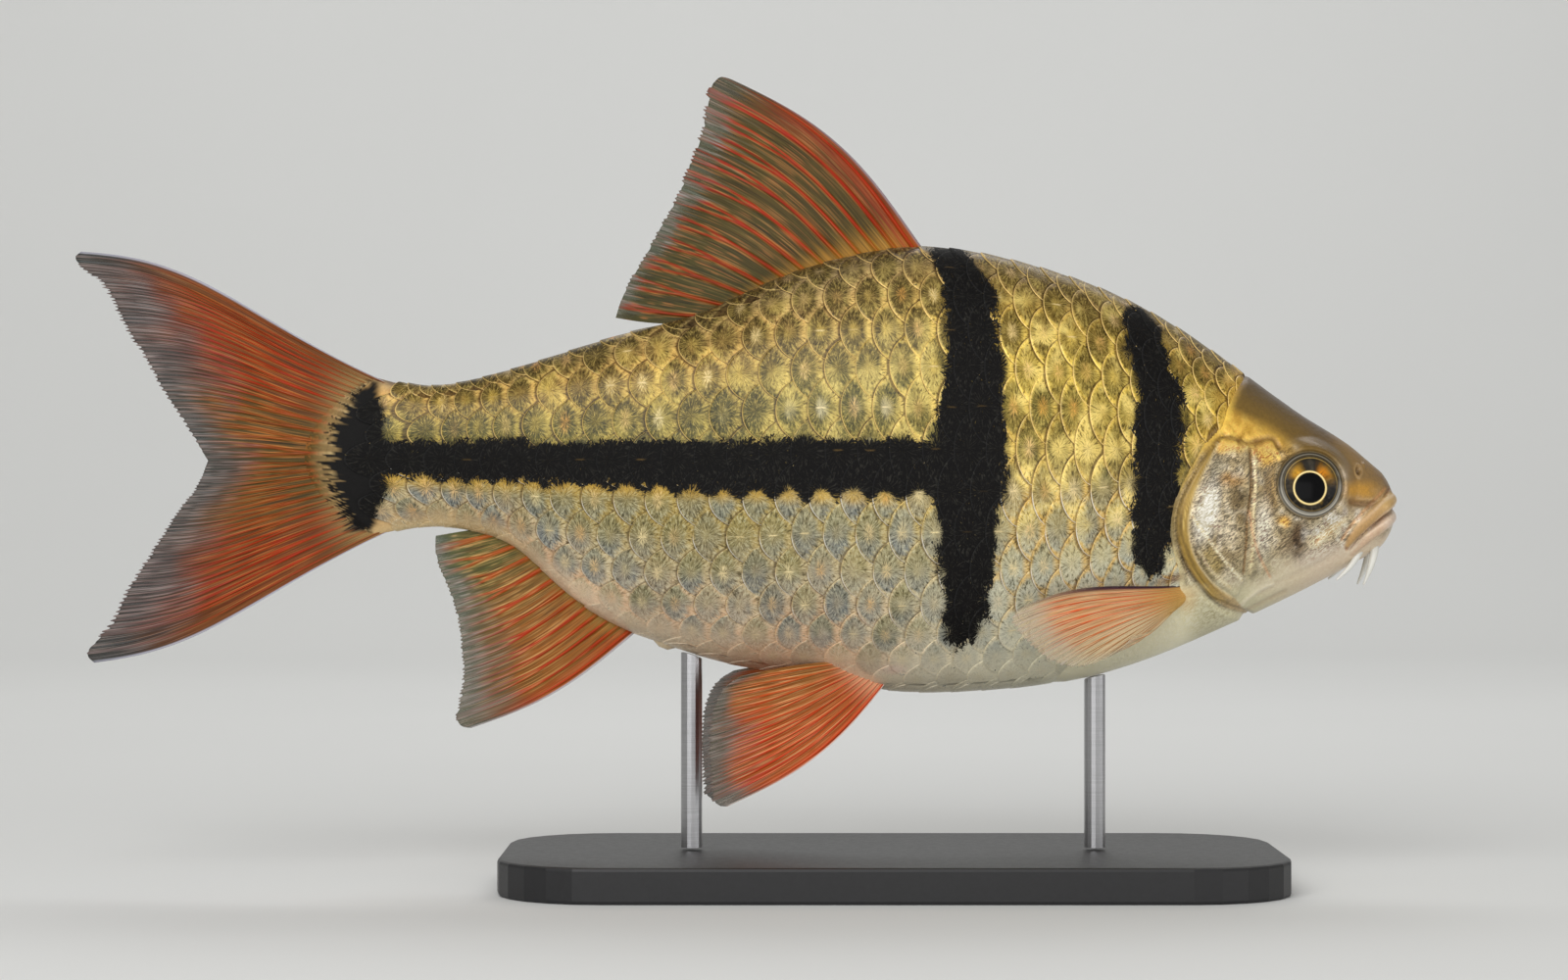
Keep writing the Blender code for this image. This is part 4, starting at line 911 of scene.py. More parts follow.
def head_colour(folded, colour):
    """Paints the head over the body's colour: silver cheeks with painted highlights, a brown top with a
    painted sheen on its ridge, gold and darker patches, some of them painted shade, grooves with painted
    shade in them, the gill cover's rim with a painted shadow outside it, and the lips. Also gives how much
    of each place is silver foil."""
    x, z = folded[..., 0], folded[..., 2]
    flat = np.stack([x, z], axis=-1)
    height = height_share(x, z)
    cloud = noise(flat, 2.2, 33)
    grain = noise(flat, 0.8, 32)
    low = mix(srgb(220, 202, 178), srgb(206, 200, 168), smooth(66, 56, x))
    foil = smooth(0.08, 0.3, height + 0.03 * cloud)
    gold = smooth(48.6, 50.2, z + 0.3 * cloud) * smooth(63.5, 60.5, x)
    mottle = smooth(-0.4, 0.7, grain + 0.6 * cloud + 0.7 * noise(flat, 0.36, 34))
    coat = mix(low, cheek_silver(x, cloud, grain), foil)
    coat = mix(coat, mix(srgb(248, 208, 104), srgb(164, 120, 42), mottle), gold)
    brown_line = 52.6 - 0.5 * (x - 56.0) + 0.5 * cloud
    top = smooth(-0.9, 1.5, z - np.maximum(brown_line, 48.2))
    top = np.maximum(top, smooth(61.2, 63.6, x) * smooth(45.5, 48.8, z))
    snout = smooth(66.2, 69.2, x + 0.3 * cloud) * smooth(40.2, 45.0, z - 0.4 * (x - 70) + 0.4 * cloud)
    coat = mix(coat, crown_colour(x, height, cloud), top)
    coat = painted(coat, ((140, 112, 70), snout))
    foil = foil * (1 - top) * (1 - snout) * (1 - 0.7 * gold)
    coat = paint_patches(coat, x, z, cloud + grain)
    # The lines' colours: painted shade in the darker grooves
    for line, _, _, tone, reach, share in HEAD_LINES.values():
        coat = painted(coat, (tone, share * hill(to_line(flat, smooth_line(line))[0], reach)))
    coat, rim = paint_gill_rim(flat, coat, cloud)
    coat, lips = paint_lips(folded, coat)
    head = smooth(-0.5, 0.8, inside(flat, HEAD_REGION))
    head = head * np.maximum(smooth(49.5, 53, x), smooth(33.4, 34.6, z))
    return mix(colour, coat, head), foil * head * (1 - rim) * (1 - lips)


def cheek_silver(x, cloud, grain):
    """The mottled silver of cheek and gill cover, with pale painted highlights, darker on the cover."""
    silver = mix(srgb(182, 170, 144), srgb(140, 126, 98), smooth(-0.2, 1.0, cloud + 0.5 * grain))
    # Pale painted highlights on the foil
    silver = painted(silver, ((214, 208, 196), smooth(0.1, 0.9, -grain - 0.3 * cloud)))
    return mix(silver, silver * OPERCLE_TINT, smooth(62.5, 59.5, x))


def crown_colour(x, height, cloud):
    """The brown of the head's top, browner higher up and toward the snout, greyer along the ridge, where the
    grey is a painted lilac sheen.
    """
    return painted(
        srgb(124, 98, 44), ((98, 80, 50), smooth(0.80, 0.98, height + 0.03 * cloud)),
        ((104, 84, 58), 0.8 * smooth(60, 70, x) * smooth(0.6, 0.95, height)),
        # Painted lilac sheen along the ridge
        ((112, 104, 104), 0.5 * smooth(0.95, 1.0, height)),
    )


def paint_patches(colour, x, z, uneven):
    """Lays the head's soft tilted ovals over a colour, their shares made uneven by noise."""
    for at_x, at_z, length, tall, tilt, tone, share in HEAD_PATCHES:
        turn = math.radians(tilt)
        along = (x - at_x) * math.cos(turn) + (z - at_z) * math.sin(turn)
        beside = (z - at_z) * math.cos(turn) - (x - at_x) * math.sin(turn)
        spot = hill(np.hypot(along / length, beside / tall), 1.25) * (1 + 0.3 * uneven)
        colour = painted(colour, (tone, share * np.clip(spot * 1.15, 0, 1)))
    return colour


def paint_gill_rim(flat, colour, cloud):
    """The tan rim of the gill cover with lines along it, a pale line on its inner side and a dark painted
    shadow outside it, behind the cover's free edge. Also gives its share."""
    outline = smooth_line(COVER_EDGE, 48)
    inner_line = smooth_line(COVER_RIM_INNER)
    edge, share = to_line(flat, outline)
    inner, _ = to_line(flat, inner_line)
    lines = noise(np.stack([edge / 0.24 + 0.4 * cloud, share * 7], axis=-1), 1.0, 41)
    rim = painted(
        srgb(166, 136, 66), ((122, 98, 44), smooth(0.1, 0.9, lines)),
        ((208, 178, 104), smooth(0.2, 0.9, -lines)), ((190, 168, 128), smooth(0.72, 0.95, share)),
    )
    cover = smooth(-0.16, 0.16, inside(flat, np.vstack([outline, inner_line[::-1]])))
    whole = inside(flat, np.vstack([outline, [(62.0, 33.0), (62.0, 50.0)]]))
    # Painted shadow along the outside of the cover's free edge
    dark = hill(edge - 0.15, 0.34) * smooth(0.05, -0.05, whole) * smooth(0.98, 0.8, share)
    colour = mix(colour, rim, cover)
    return painted(colour, ((222, 206, 166), 0.55 * hill(inner, 0.2)), ((84, 66, 42), 0.75 * dark)), cover


def paint_lips(folded, colour):
    """The olive gold upper lip and pinkish white lower lip with paler rims, the mouth line darkened with
    painted shade, and the pale ring of the nostril with painted shade in its dark pit. Also gives the lips'
    share."""
    creases = noise(folded, (0.3, 0.3, 0.9), 42)
    whole = np.zeros(len(folded))
    for name, line in LIPS.items():
        away, share = to_line(folded, lip_line(line))
        radius = spread(share, LIP_RADII[name])
        side, middle = LIP_TONES[name]
        tone = mix(srgb(*side), srgb(*middle), np.clip(smooth(0.5, 0.05, share) + 0.2 * creases, 0, 1))
        cover = smooth(radius + 0.25, radius - 0.35, away)
        rim = hill(away - radius * 0.55, 0.25) * smooth(0.7, 0.2, share)
        colour = painted(mix(colour, tone, cover), ((234, 218, 198), 0.35 * rim))
        whole = np.maximum(whole, cover)
    away, _ = to_line(folded, lip_line(MOUTH_LINE))
    # Painted shade in the mouth line and the nostril's pit
    pit = nostril_away(folded[..., [0, 2]])
    return painted(
        colour, ((150, 108, 78), 0.7 * hill(away, 0.22)), ((184, 152, 106), 0.5 * hill(pit - 1.35, 0.5)),
        ((88, 62, 38), 0.8 * hill(pit, 0.95)),
    ), whole


def skin_finish(folded, near, foil, bare):
    """How metallic, rough and foil-like the skin is: wet on the body, brighter on the head by its foil
    and on the bare breast, and matt toward the tail's root."""
    finish = np.tile(WET_FINISH, (len(folded), 1))
    finish[near, 0] += 0.45 * foil
    finish[near, 1] -= 0.08 * foil
    finish[near, 2] = foil
    breast = oval(folded[:, 0], folded[:, 2], (53, 31), (6, 4.5)) * bare
    finish[:, 0] = np.maximum(finish[:, 0], 0.4 * breast)
    finish[:, 2] = np.maximum(finish[:, 2], 0.6 * breast)
    return mix(finish, np.array(MATT_FINISH), smooth(-34.0, -39.0, folded[:, 0]))


def make_skin(material):
    """One closed skin over head, gill covers, trunk and tail stalk. The body's surface sinks by the
    coat's depth where scales grow, and the head's relief moves it along its own normals."""
    turns = np.linspace(0, 2 * math.pi, SKIN_COLUMNS, endpoint=False)
    rings = body_point(skin_rings()[:, None], turns[None])
    normals = grid_normals(rings, True).reshape(-1, 3)
    smooth_skin = rings.reshape(-1, 3)
    folded = smooth_skin.copy()
    folded[:, 1] = np.abs(folded[:, 1])
    x = folded[:, 0]
    bare = bare_share(x, folded[:, 2])
    near = (x > HEAD_START_X) | (np.linalg.norm(folded - np.array(VENT), axis=1) < 3)
    rise = np.zeros(len(folded))
    rise[near] = head_relief(folded[near])
    rise = np.where(x < HEAD_START_X, 1.0, bare) * rise - COAT_DEPTH * (1 - bare)
    grain = noise(folded, 0.5, 51) * 0.012 + noise(folded, 1.4, 52) * 0.02
    moved = smooth_skin + normals * (rise + grain * bare)[:, None]
    face = near & (x > 57)
    moved[face] = orbit_moved(moved[face])
    moved = moved.reshape(rings.shape)
    colour = mix(flank_colour(folded), BLACK, black_share(folded) * (1 - bare))
    colour[near], foil = head_colour(folded[near], colour[near])
    tail = x < TAIL_PAINT[0]
    colour[tail] = mix(colour[tail], wedge_paint(folded[tail])[0], smooth(*TAIL_PAINT, x[tail]))
    finish = skin_finish(folded, near, foil, bare)
    wedge = stalk_wedge(moved[0])
    root, ray = wedge_paint(wedge)
    fade = np.linspace(1, 0, WEDGE_RINGS, endpoint=False)[:, None]
    wedge[..., 1] = wedge[..., 1] * (1 + 0.35 * (ray.reshape(wedge.shape[:2]) - 0.4) * fade)
    grid = np.concatenate([wedge, moved])
    points, faces = closed_tube(grid, grid[0].mean(axis=0), grid[-1].mean(axis=0))
    piece = new_piece(
        "skin", points, faces, material,
        ("head", "trunk", "tail_stalk", "gill_cover_right", "gill_cover_left"),
    )
    give_colour(piece, "Col", np.concatenate([root, colour, root[:1], colour[-1:]]))
    root_finish = np.tile(MATT_FINISH, (len(root), 1))
    give_vector(piece, "finish", np.concatenate([root_finish, finish, root_finish[:1], finish[-1:]]))


# The scales

def flank_table():
    """The left flank as a table over place along the body and distance along the skin from the
    scales' backbone, with normals, and the distances of the back and belly ridges."""
    columns, turn_count, reach_count = FLANK_GRID
    xs = np.linspace(STALK_END_X, FLANK_END_X, columns)
    past = math.pi / 2 + FLANK_PAST
    turns = np.linspace(-past, past, turn_count)
    rings = body_point(xs[:, None], turns[None])
    steps = np.linalg.norm(np.diff(rings[..., 1:], axis=1), axis=-1)
    arcs = np.concatenate([np.zeros((columns, 1)), np.cumsum(steps, axis=1)], axis=1)
    near = np.abs(turns) < 1.5
    heights = table(SCALE_BACKBONE)(xs)
    zero = np.array([np.interp(h, ring[near, 2], arc[near]) for h, ring, arc in zip(heights, rings, arcs)])
    arcs = arcs - zero[:, None]
    reach = np.linspace(-FLANK_REACH, FLANK_REACH, reach_count)
    turn_at = np.array([np.interp(reach, arc, turns) for arc in arcs])
    places = body_point(xs[:, None], turn_at)
    top = np.array([np.interp(math.pi / 2, turns, arc) for arc in arcs])
    bottom = np.array([np.interp(-math.pi / 2, turns, arc) for arc in arcs])
    return xs, reach, places, grid_normals(places, False), top, bottom


FLANK = flank_table()


def on_flank(x, reach):
    """Points and normals of the left flank at places along it and distances from the backbone."""
    xs, reaches, places, normals, _, _ = FLANK
    i = np.clip((x - xs[0]) / (xs[1] - xs[0]), 0, len(xs) - 1.001)
    j = np.clip((reach - reaches[0]) / (reaches[1] - reaches[0]), 0, len(reaches) - 1.001)
    low_i, low_j = i.astype(int), j.astype(int)
    part_i, part_j = (i - low_i)[..., None], (j - low_j)[..., None]
    read = []
    for grid in (places, normals):
        near = grid[low_i, low_j] * (1 - part_j) + grid[low_i, low_j + 1] * part_j
        far = grid[low_i + 1, low_j] * (1 - part_j) + grid[low_i + 1, low_j + 1] * part_j
        read.append(near * (1 - part_i) + far * part_i)
    return read


def row_reach(x, row):
    """Distance along the skin of a row, whole or fractional. Rows close up toward back and belly."""
    closing = np.where(row > 0, ROW_CLOSING[1], ROW_CLOSING[0])
    return table(ROW_PITCH)(x) * (row - closing * row * np.abs(row))


def free_edge(reach, bow, half):
    """How far ahead of its hind tip a scale's free edge runs, by the distance from its middle in
    rows: part of an ellipse, and a steep run beyond the scale's half height."""
    share = np.clip(np.abs(reach) / half, 0, 1)
    arc = (1 - np.sqrt(1 - SCALE_ROUND * share**2)) / (1 - math.sqrt(1 - SCALE_ROUND))
    return bow * arc + 6 * np.clip(np.abs(reach) - half, 0, None)


def scale_places():
    """Where the scales' hind tips may stand along the body, half a scale apart."""
    pitch = table(SCALE_PITCH)
    stops = [SCALE_START_X]
    while stops[-1] < SCALE_END_X:
        stops.append(stops[-1] + float(pitch(stops[-1])) / 2)
    return np.array(stops)


def flank_scales():
    """The (tip's place, row) of every scale of one flank: rows from belly to back, odd rows shifted
    by half a scale, those beyond the ridges or wholly on the bare head left out."""
    stops = scale_places()
    xs, _, _, _, top, bottom = FLANK
    found = []
    for row in range(-SCALE_ROWS, SCALE_ROWS + 1):
        mine = stops[(np.arange(len(stops)) + row) % 2 == 0]
        reach = row_reach(mine, row)
        keep = (reach < np.interp(mine, xs, top) + 0.6) & (reach > np.interp(mine, xs, bottom) - 0.6)
        found.append(np.stack([mine[keep], np.full(keep.sum(), float(row))], axis=1))
    found = np.concatenate(found)
    middle, _ = on_flank(found[:, 0] + 1.0, row_reach(found[:, 0], found[:, 1]))
    return found[bare_share(middle[:, 0], middle[:, 2]) < 0.9]


def ridge_scales(ridge):
    """The (tip's place, row) of the scales along the ridge of the back or the belly."""
    start, end = RIDGE_SPANS[ridge]
    xs, _, _, _, top, bottom = FLANK
    stops = scale_places()[::2]
    stops = stops[(stops > start) & (stops < end)]
    reach = np.interp(stops, xs, top if ridge == "back" else bottom)
    return np.stack([stops, reach / table(ROW_PITCH)(stops)], axis=1)


def scale_profile():
    """One scale's section from front underside, round its free edge, to its front top, as the share
    of the way from edge to front, a step in millimetres beside it, and the depth below its top."""
    top = np.linspace(0, 1, 10) ** 1.25
    share = np.concatenate([[1.0, 0.45, 0.0, 0.0, 0.0, 0.0], top[1:]])
    step = np.concatenate([[0, 0, 0.14, 0.0, 0.0, 0.07], 0.07 * (1 - top[1:])])
    depth = np.concatenate([[0.3, SCALE_THICK + 0.05, SCALE_THICK, 0.1, 0.035, 0.0], np.zeros(9)])
    return share, step, depth


def make_scales(name, found, side, lift, material):
    """Overlapping closed plates laid on the skin, with arched free edges. A plate's top falls with
    distance ahead of its hind tip, so that the scale ahead always lies over the one behind."""
    random = np.random.default_rng(SEED + side * 3 + int(lift * 100))
    count = len(found)
    share, step, depth = scale_profile()
    jitter = random.uniform(-1, 1, (count, 6))
    tip = (found[:, 0] + 0.1 * jitter[:, 0])[:, None, None]
    row = (found[:, 1] + 0.02 * jitter[:, 1])[:, None, None]
    pitch = table(SCALE_PITCH)(found[:, 0])[:, None, None]
    bow = (table(SCALE_BOW)(found[:, 0]) * (1 + 0.08 * jitter[:, 2]))[:, None, None] * pitch
    half = table(SCALE_HALF_HEIGHT)(found[:, 0])[:, None, None]
    across = np.linspace(-1, 1, SCALE_COLUMNS)[None, None, :] * half
    edge = free_edge(across, bow, half)
    front = pitch * SCALE_LENGTH
    ahead = np.minimum(edge + (front - edge) * share[None, :, None] + step[None, :, None], front)
    x = tip + ahead
    high, low = np.interp(x, FLANK[0], FLANK[4]), np.interp(x, FLANK[0], FLANK[5])
    if lift:
        reach = (high if found[0, 1] > 0 else low) + across * table(ROW_PITCH)(x) * 0.85
        over = 0
    else:
        reach = row_reach(x, row + across)
        over = np.maximum(low - reach, reach - high).clip(0)
        reach = np.clip(reach, low, high)
    places, normals = on_flank(x, reach)
    calm = 0.45 + 0.55 * smooth(0.02, 0.2, height_share(places[..., 0], places[..., 2]))
    rise = SCALE_RISE * calm * (1 - SCALE_FALL * ahead / pitch) - COAT_DEPTH + 0.02
    rise = rise + 0.03 * (1 - across**2) - depth[None, :, None] + lift
    rise = rise - 0.12 * np.minimum(over, 1) - 0.55 * bare_share(places[..., 0], places[..., 2])
    points = (places + normals * rise[..., None]).reshape(-1, 3)
    points, faces = mirrored(points, scale_faces(count, len(share)), side)
    piece = new_piece(name, points, faces, material)
    beside = pitch / 2 + free_edge(1 - np.abs(across), bow, half)
    cover = np.minimum(beside, pitch + edge) - ahead
    paint_scales(piece, places, ahead, edge, across + 0 * ahead, cover, pitch, jitter)
    bake_patches(piece, found, across, share)


def scale_faces(count, rows):
    """The faces of many scales: each is a band closed round its rows, with a cap at either end."""
    grid = grid_faces(rows + 1, SCALE_COLUMNS)
    size = rows * SCALE_COLUMNS
    grid = np.where(grid >= size, grid - size, grid)
    start = (np.arange(count) * size)[:, None, None]
    first = np.arange(rows) * SCALE_COLUMNS
    caps = np.stack([first[::-1], first + SCALE_COLUMNS - 1])
    return [(grid[None] + start).reshape(-1, 4), (caps[None] + start).reshape(-1, rows)]


def paint_scales(piece, places, ahead, edge, across, cover, pitch, jitter):
    """Each scale's colour from the flank's: paler or pinker between the scales' leaves below the
    stripe, a darker leaf pointed above and below, blotches of gold and olive on the upper flank, a
    painted glint in the leaf, and gold along the stripe's lower edge and on the nape.
    multiplied by its tints. The black markings go beside it as a share, and the stripe's lower edge
    hangs down between the scales' middles."""
    x, z = places[..., 0], places[..., 2]
    flat = np.stack([x, z], axis=-1)
    height = height_share(x, z)
    each = np.broadcast_to(jitter.T[:, :, None, None], (6, *ahead.shape))
    tall = across * table(ROW_PITCH)(x)
    shown = np.clip((ahead - edge) / np.maximum(ahead - edge + cover, 0.05), 0, 1)
    speck = noise(flat, (0.6, 0.9), 61)
    blotch = noise(flat, (2.1, 2.6), 62) + 0.6 * noise(flat, (0.8, 1.1), 63)
    upper = smooth(0.44, 0.54, height)
    high = smooth(0.66, 0.84, height)
    front = smooth(18, 34, x)
    rear = smooth(12, -4, x)
    centre, half, tip = LEAF_PLACE
    off_middle = ahead - centre * pitch
    leaf = smooth(1.12, 0.9, np.abs(off_middle) / (half * pitch) + (across / tip) ** 2 + 0.16 * speck)
    # spot: where each scale's painted glint sits; the leaf is drawn lighter there
    spot = hill(np.hypot(off_middle / 0.7, tall / 1.7), 1.0)
    weight = leaf * (0.74 + 0.18 * upper + 0.22 * each[3] + 0.22 * speck) * (1 - 0.4 * spot)
    weight = weight * smooth(0.02, 0.14, height) * (1 - 0.25 * front * (1 - high))
    low_half = smooth(0.3, -0.4, across + 0.25 * speck)
    cold = np.clip(0.2 + 0.65 * low_half + 0.35 * each[1] + 0.3 * smooth(0.34, 0.14, height), 0, 1)
    dark = painted(
        mix(srgb(140, 132, 88), srgb(112, 120, 122), cold), ((84, 82, 40), upper), ((76, 64, 32), high),
        ((124, 100, 40), 0.6 * front * high), ((170, 178, 172), smooth(0.42, 0.2, height) * front),
    )
    between = painted(
        srgb(204, 190, 154), ((176, 152, 86), smooth(0.2, 0.42, height)),
        ((208, 164, 82), front * smooth(0.1, 0.26, height)),
    )
    warm = (1 - leaf) * (1 - upper) * smooth(0.06, 0.2, height)
    colour = mix(flank_colour(places), between, (0.5 + 0.2 * front) * warm)
    pink = hill(height - 0.13, 0.13) * (1 - leaf) * smooth(24, 12, x) * smooth(-34, -24, x)
    colour = painted(colour, ((226, 166, 122), 0.4 * pink * smooth(-0.5, 0.6, each[0] + speck)))
    colour = mix(colour, dark, np.clip(weight, 0, 0.92))
    rich = (front + 0.45 * (1 - front) * upper) * smooth(0.28, 0.5, height) * smooth(1.0, 0.9, height)
    band = hill(shown - 0.82, 0.26) * (1 - leaf) * upper * (1 - 0.5 * high)
    colour = painted(
        colour, ((252, 222, 126), 0.8 * rich * smooth(0.05, 0.7, blotch)),
        ((100, 84, 36), 0.62 * rich * smooth(0.1, 0.8, -blotch)), ((220, 190, 104), 0.35 * band),
    )
    # Painted highlights: a glint in each leaf, gold higher up, paler on part of the upper flank and on some
    # scales
    pale_highlight = smooth(-16, -4, x) * smooth(24, 14, x) * hill(height - 0.6, 0.16)
    glint_tone = painted(
        srgb(214, 200, 150), ((244, 208, 100), smooth(0.48, 0.66, height)),
        ((242, 236, 206), np.clip(pale_highlight + 0.4 * smooth(0.5, 1.0, each[5]), 0, 1)),
    )
    painted_glint = spot * smooth(-0.5, 0.8, each[4] + 0.6 * speck)
    colour = mix(colour, glint_tone, np.clip(painted_glint * (0.3 + 0.3 * upper) * smooth(1.0, 0.88, height), 0, 1))
    row_gold = hill(z - 44.6 + 0.04 * x, 1.5) * smooth(22, 14, x) * (0.5 + 0.5 * hill(off_middle, 1.6))
    nape = smooth(-3.0, 0.3, inside(flat, HEAD_REGION)) * smooth(49.0, 51.0, z)
    colour = painted(colour, ((206, 164, 58), 0.75 * row_gold), ((232, 182, 72), 0.65 * nape))
    colour = paint_axil(colour, x, z)
    colour = mix(colour, colour * REAR_TINT, rear * smooth(0.2, 0.4, height))
    colour = mix(colour, colour * SHADE_TINT, rear * hill(height - 0.68, 0.13))
    colour = colour * (1 + 0.1 * each[2])[..., None]
    hang = 1.1 * (0.5 - hill(off_middle, 1.9)) * smooth(48.5, 46.5, z) * (0.35 + 0.65 * smooth(-20, -8, x))
    black = black_share(places + np.stack([0 * x, 0 * x, hang], axis=-1), 1.0)
    give_colour(piece, "Col", colour.reshape(-1, 3))
    give_vector(piece, "scale_edge", np.stack([ahead - edge, cover, (each[5] + 1) / 2], axis=-1))
    give_vector(piece, "finish", np.stack([black, height, (each[4] + 1) / 2], axis=-1))
    give_map(piece, "ScaleMap", np.stack([ahead / 10, tall / 10], axis=-1).reshape(-1, 2))


def bake_patches(piece, found, across, share):
    """Each scale is a small patch at its root's place on an unwrap of the body: place along the body
    one way, distance round the skin the other."""
    along = 0.02 + 0.96 * (found[:, 0] - STALK_END_X) / (FLANK_END_X - STALK_END_X)
    around = 0.5 + 0.48 * row_reach(found[:, 0], found[:, 1]) / FLANK_REACH
    u = along[:, None, None] + BAKE_PATCH * (np.linspace(0, 1, len(share))[None, :, None] - 0.5)
    v = around[:, None, None] + BAKE_PATCH / 2 * across
    give_map(piece, "OFBake", np.stack(np.broadcast_arrays(u, v), axis=-1).reshape(-1, 2))


# The fins

def ray_pattern(across, out, look, splits, plain_edge):
    """How much a place is on a ray, and how much it is on the pale lines of painted highlight beside it, from
    0 to 1. Each ray splits in two, and again nearer the edge. plain_edge keeps the first and last rays whole."""
    rays, crowding = look["rays"], look["crowding"]
    first_edge, last_edge = plain_edge
    places = rays * ((1 - crowding) * across + crowding * (1 - (1 - across) ** 2))
    cell = np.minimum(np.floor(places), rays - 1)
    within = places - cell - 0.5
    free = smooth(first_edge, first_edge + 1.2, places) * smooth(last_edge, last_edge + 1.2, rays - places)
    start, part, start_again, part_again, root, edge = splits
    first = part * smooth(start, start + 0.4, out) * free
    second = part_again * smooth(start_again, start_again + 0.35, out) * free
    away = np.abs(np.abs(np.abs(within) - first) - second)
    width = root + (edge - root) * smooth(0.0, 0.85, out)
    return hill(away, width * 1.2), hill(away - width * 1.1, width * 0.6)


def fin_shape(plan, look, splits, plain_edge):
    """A fin in side view in rows from root to edge along bowed rays, its ray pattern, and half its
    thickness: membrane plus rays, both thinning outward. The free edge is notched between rays."""
    rays = look["rays"]
    across = np.linspace(0, 1, rays * FIN_COLUMNS_PER_RAY + 1)
    out = np.linspace(0, 1, FIN_ROWS)[:, None]
    root = curve_through(plan["root"])(across)[None]
    chord = curve_through(plan["edge"])(across)[None] - root
    length = np.linalg.norm(chord, axis=2)
    ray, line = ray_pattern(across[None] + 0 * out, out + 0 * across, look, splits, plain_edge)
    ragged = np.stack([across * 400, 0 * across], axis=-1)
    sides = smooth(0.0, 0.16, across) * smooth(1.0, 0.84, across)
    notch = (RAGGED_EDGE * (1 - ray[-1]) + 0.006 * (1 + noise(ragged, 5.0, 71))) * sides
    reach = out * (1 - np.clip(notch, 0, 1) * smooth(0.8, 1.0, out))
    first, last = plan["bow"]
    bow = (first * (1 - across) + last * across) * np.sin(math.pi * reach ** plan["peak"])
    normal = np.stack([chord[..., 1], -chord[..., 0]], axis=2) / length[..., None]
    flat = root + chord * reach[..., None] + normal * bow[..., None]
    membrane = MEMBRANE_HALF[1] + (MEMBRANE_HALF[0] - MEMBRANE_HALF[1]) * (1 - out) ** 2
    bar = RAY_HALF[1] + (RAY_HALF[0] - RAY_HALF[1]) * (1 - out) ** 1.3
    pitch = np.linalg.norm(np.gradient(flat, across, axis=1), axis=2) / rays
    half = membrane + ray * np.minimum(bar, 0.18 * pitch)
    half = half * (1 - 0.5 * smooth(0.97, 1.0, out))
    return flat, out + 0 * across, across[None] + 0 * out, half, (ray, line), length


def fin_colour(look, out, across, pattern, flat, front_line):
    """A fin's colour and opacity: rays and pale lines of painted highlight over a greyer membrane, redder in
    the middle of the fin, an opaque root, a grey rear margin, and front rays with a thin line along the edge."""
    tones = {key: srgb(*value) for key, value in look.items() if np.size(value) == 3}
    ray, line = pattern
    cloud = noise(flat, 2.6, 81)
    fine = noise(np.stack([across * 260, out * 4], axis=-1), 1.0, 82)
    finer = noise(np.stack([across * 520, out * 7], axis=-1), 1.0, 84)
    lead = across if front_line > 0 else 1 - across
    red = np.clip(hill(lead - look["red"][0], look["red"][1]) + 0.25 * cloud, 0, 1)
    red = np.clip(red + 0.3 * fine, 0, 1)
    rays = mix(tones["tan"], tones["ray"], red)
    gaps = mix(tones["gap"], tones["red_gap"], red)
    colour = mix(gaps, rays, smooth(0.15, 0.75, ray + 0.25 * fine + 0.12 * finer))
    dark = smooth(0.45, 0.0, ray) * smooth(-0.1, 0.6, -finer)
    colour = mix(colour, colour * 0.42, 0.7 * dark)
    colour = mix(colour, colour * 0.5, 0.6 * smooth(0.3, 0.8, ray) * smooth(0.0, 0.7, -fine - 0.5 * finer))
    # Painted highlights: pale lines beside the rays and pale flecks along them
    pale_highlight = np.maximum(line * smooth(-0.4, 0.5, fine), smooth(0.3, 0.8, finer) * 0.5)
    colour = mix(colour, tones["line"], 0.75 * pale_highlight * smooth(0.05, 0.4, out + 0.1 * cloud))
    late = smooth(look["margin"], 0.97, out + 0.09 * cloud + 0.1 * fine)
    late = late * (1 - look.get("red_tip", 0.0) * smooth(0.3, 0.0, lead))
    streaks = np.clip(0.2 * ray + 0.5 * smooth(0.1, 0.7, finer), 0, 1)
    ends = mix(tones["end"], mix(tones["line"], srgb(170, 180, 190), 0.8), streaks)
    colour = mix(colour, ends, 0.88 * late)
    colour = mix(colour, tones["root"], smooth(look["root_reach"], 0.0, out + 0.05 * fine) * (1 - 0.3 * ray))
    leading = smooth(look["front_width"], look["front_width"] * 0.4, lead) * smooth(0.95, 0.6, out)
    colour = mix(colour, tones["front"], 0.85 * leading * (0.55 + 0.6 * ray + 0.35 * fine).clip(0, 1))
    rim = smooth(look["rim_width"], look["rim_width"] * 0.4, lead)
    rim = rim * (1 - look["clear"] * smooth(0.5, 0.8, out))
    colour = mix(colour, tones["rim"], rim) * tones["shade"]
    see = look["see"] + (0.99 - look["see"]) * smooth(0.1, 0.6, ray)
    see = np.maximum(see, smooth(0.2, 0.02, out))
    return colour, see * (1 - look["clear"] * smooth(0.72, 1.0, out + 0.05 * fine))


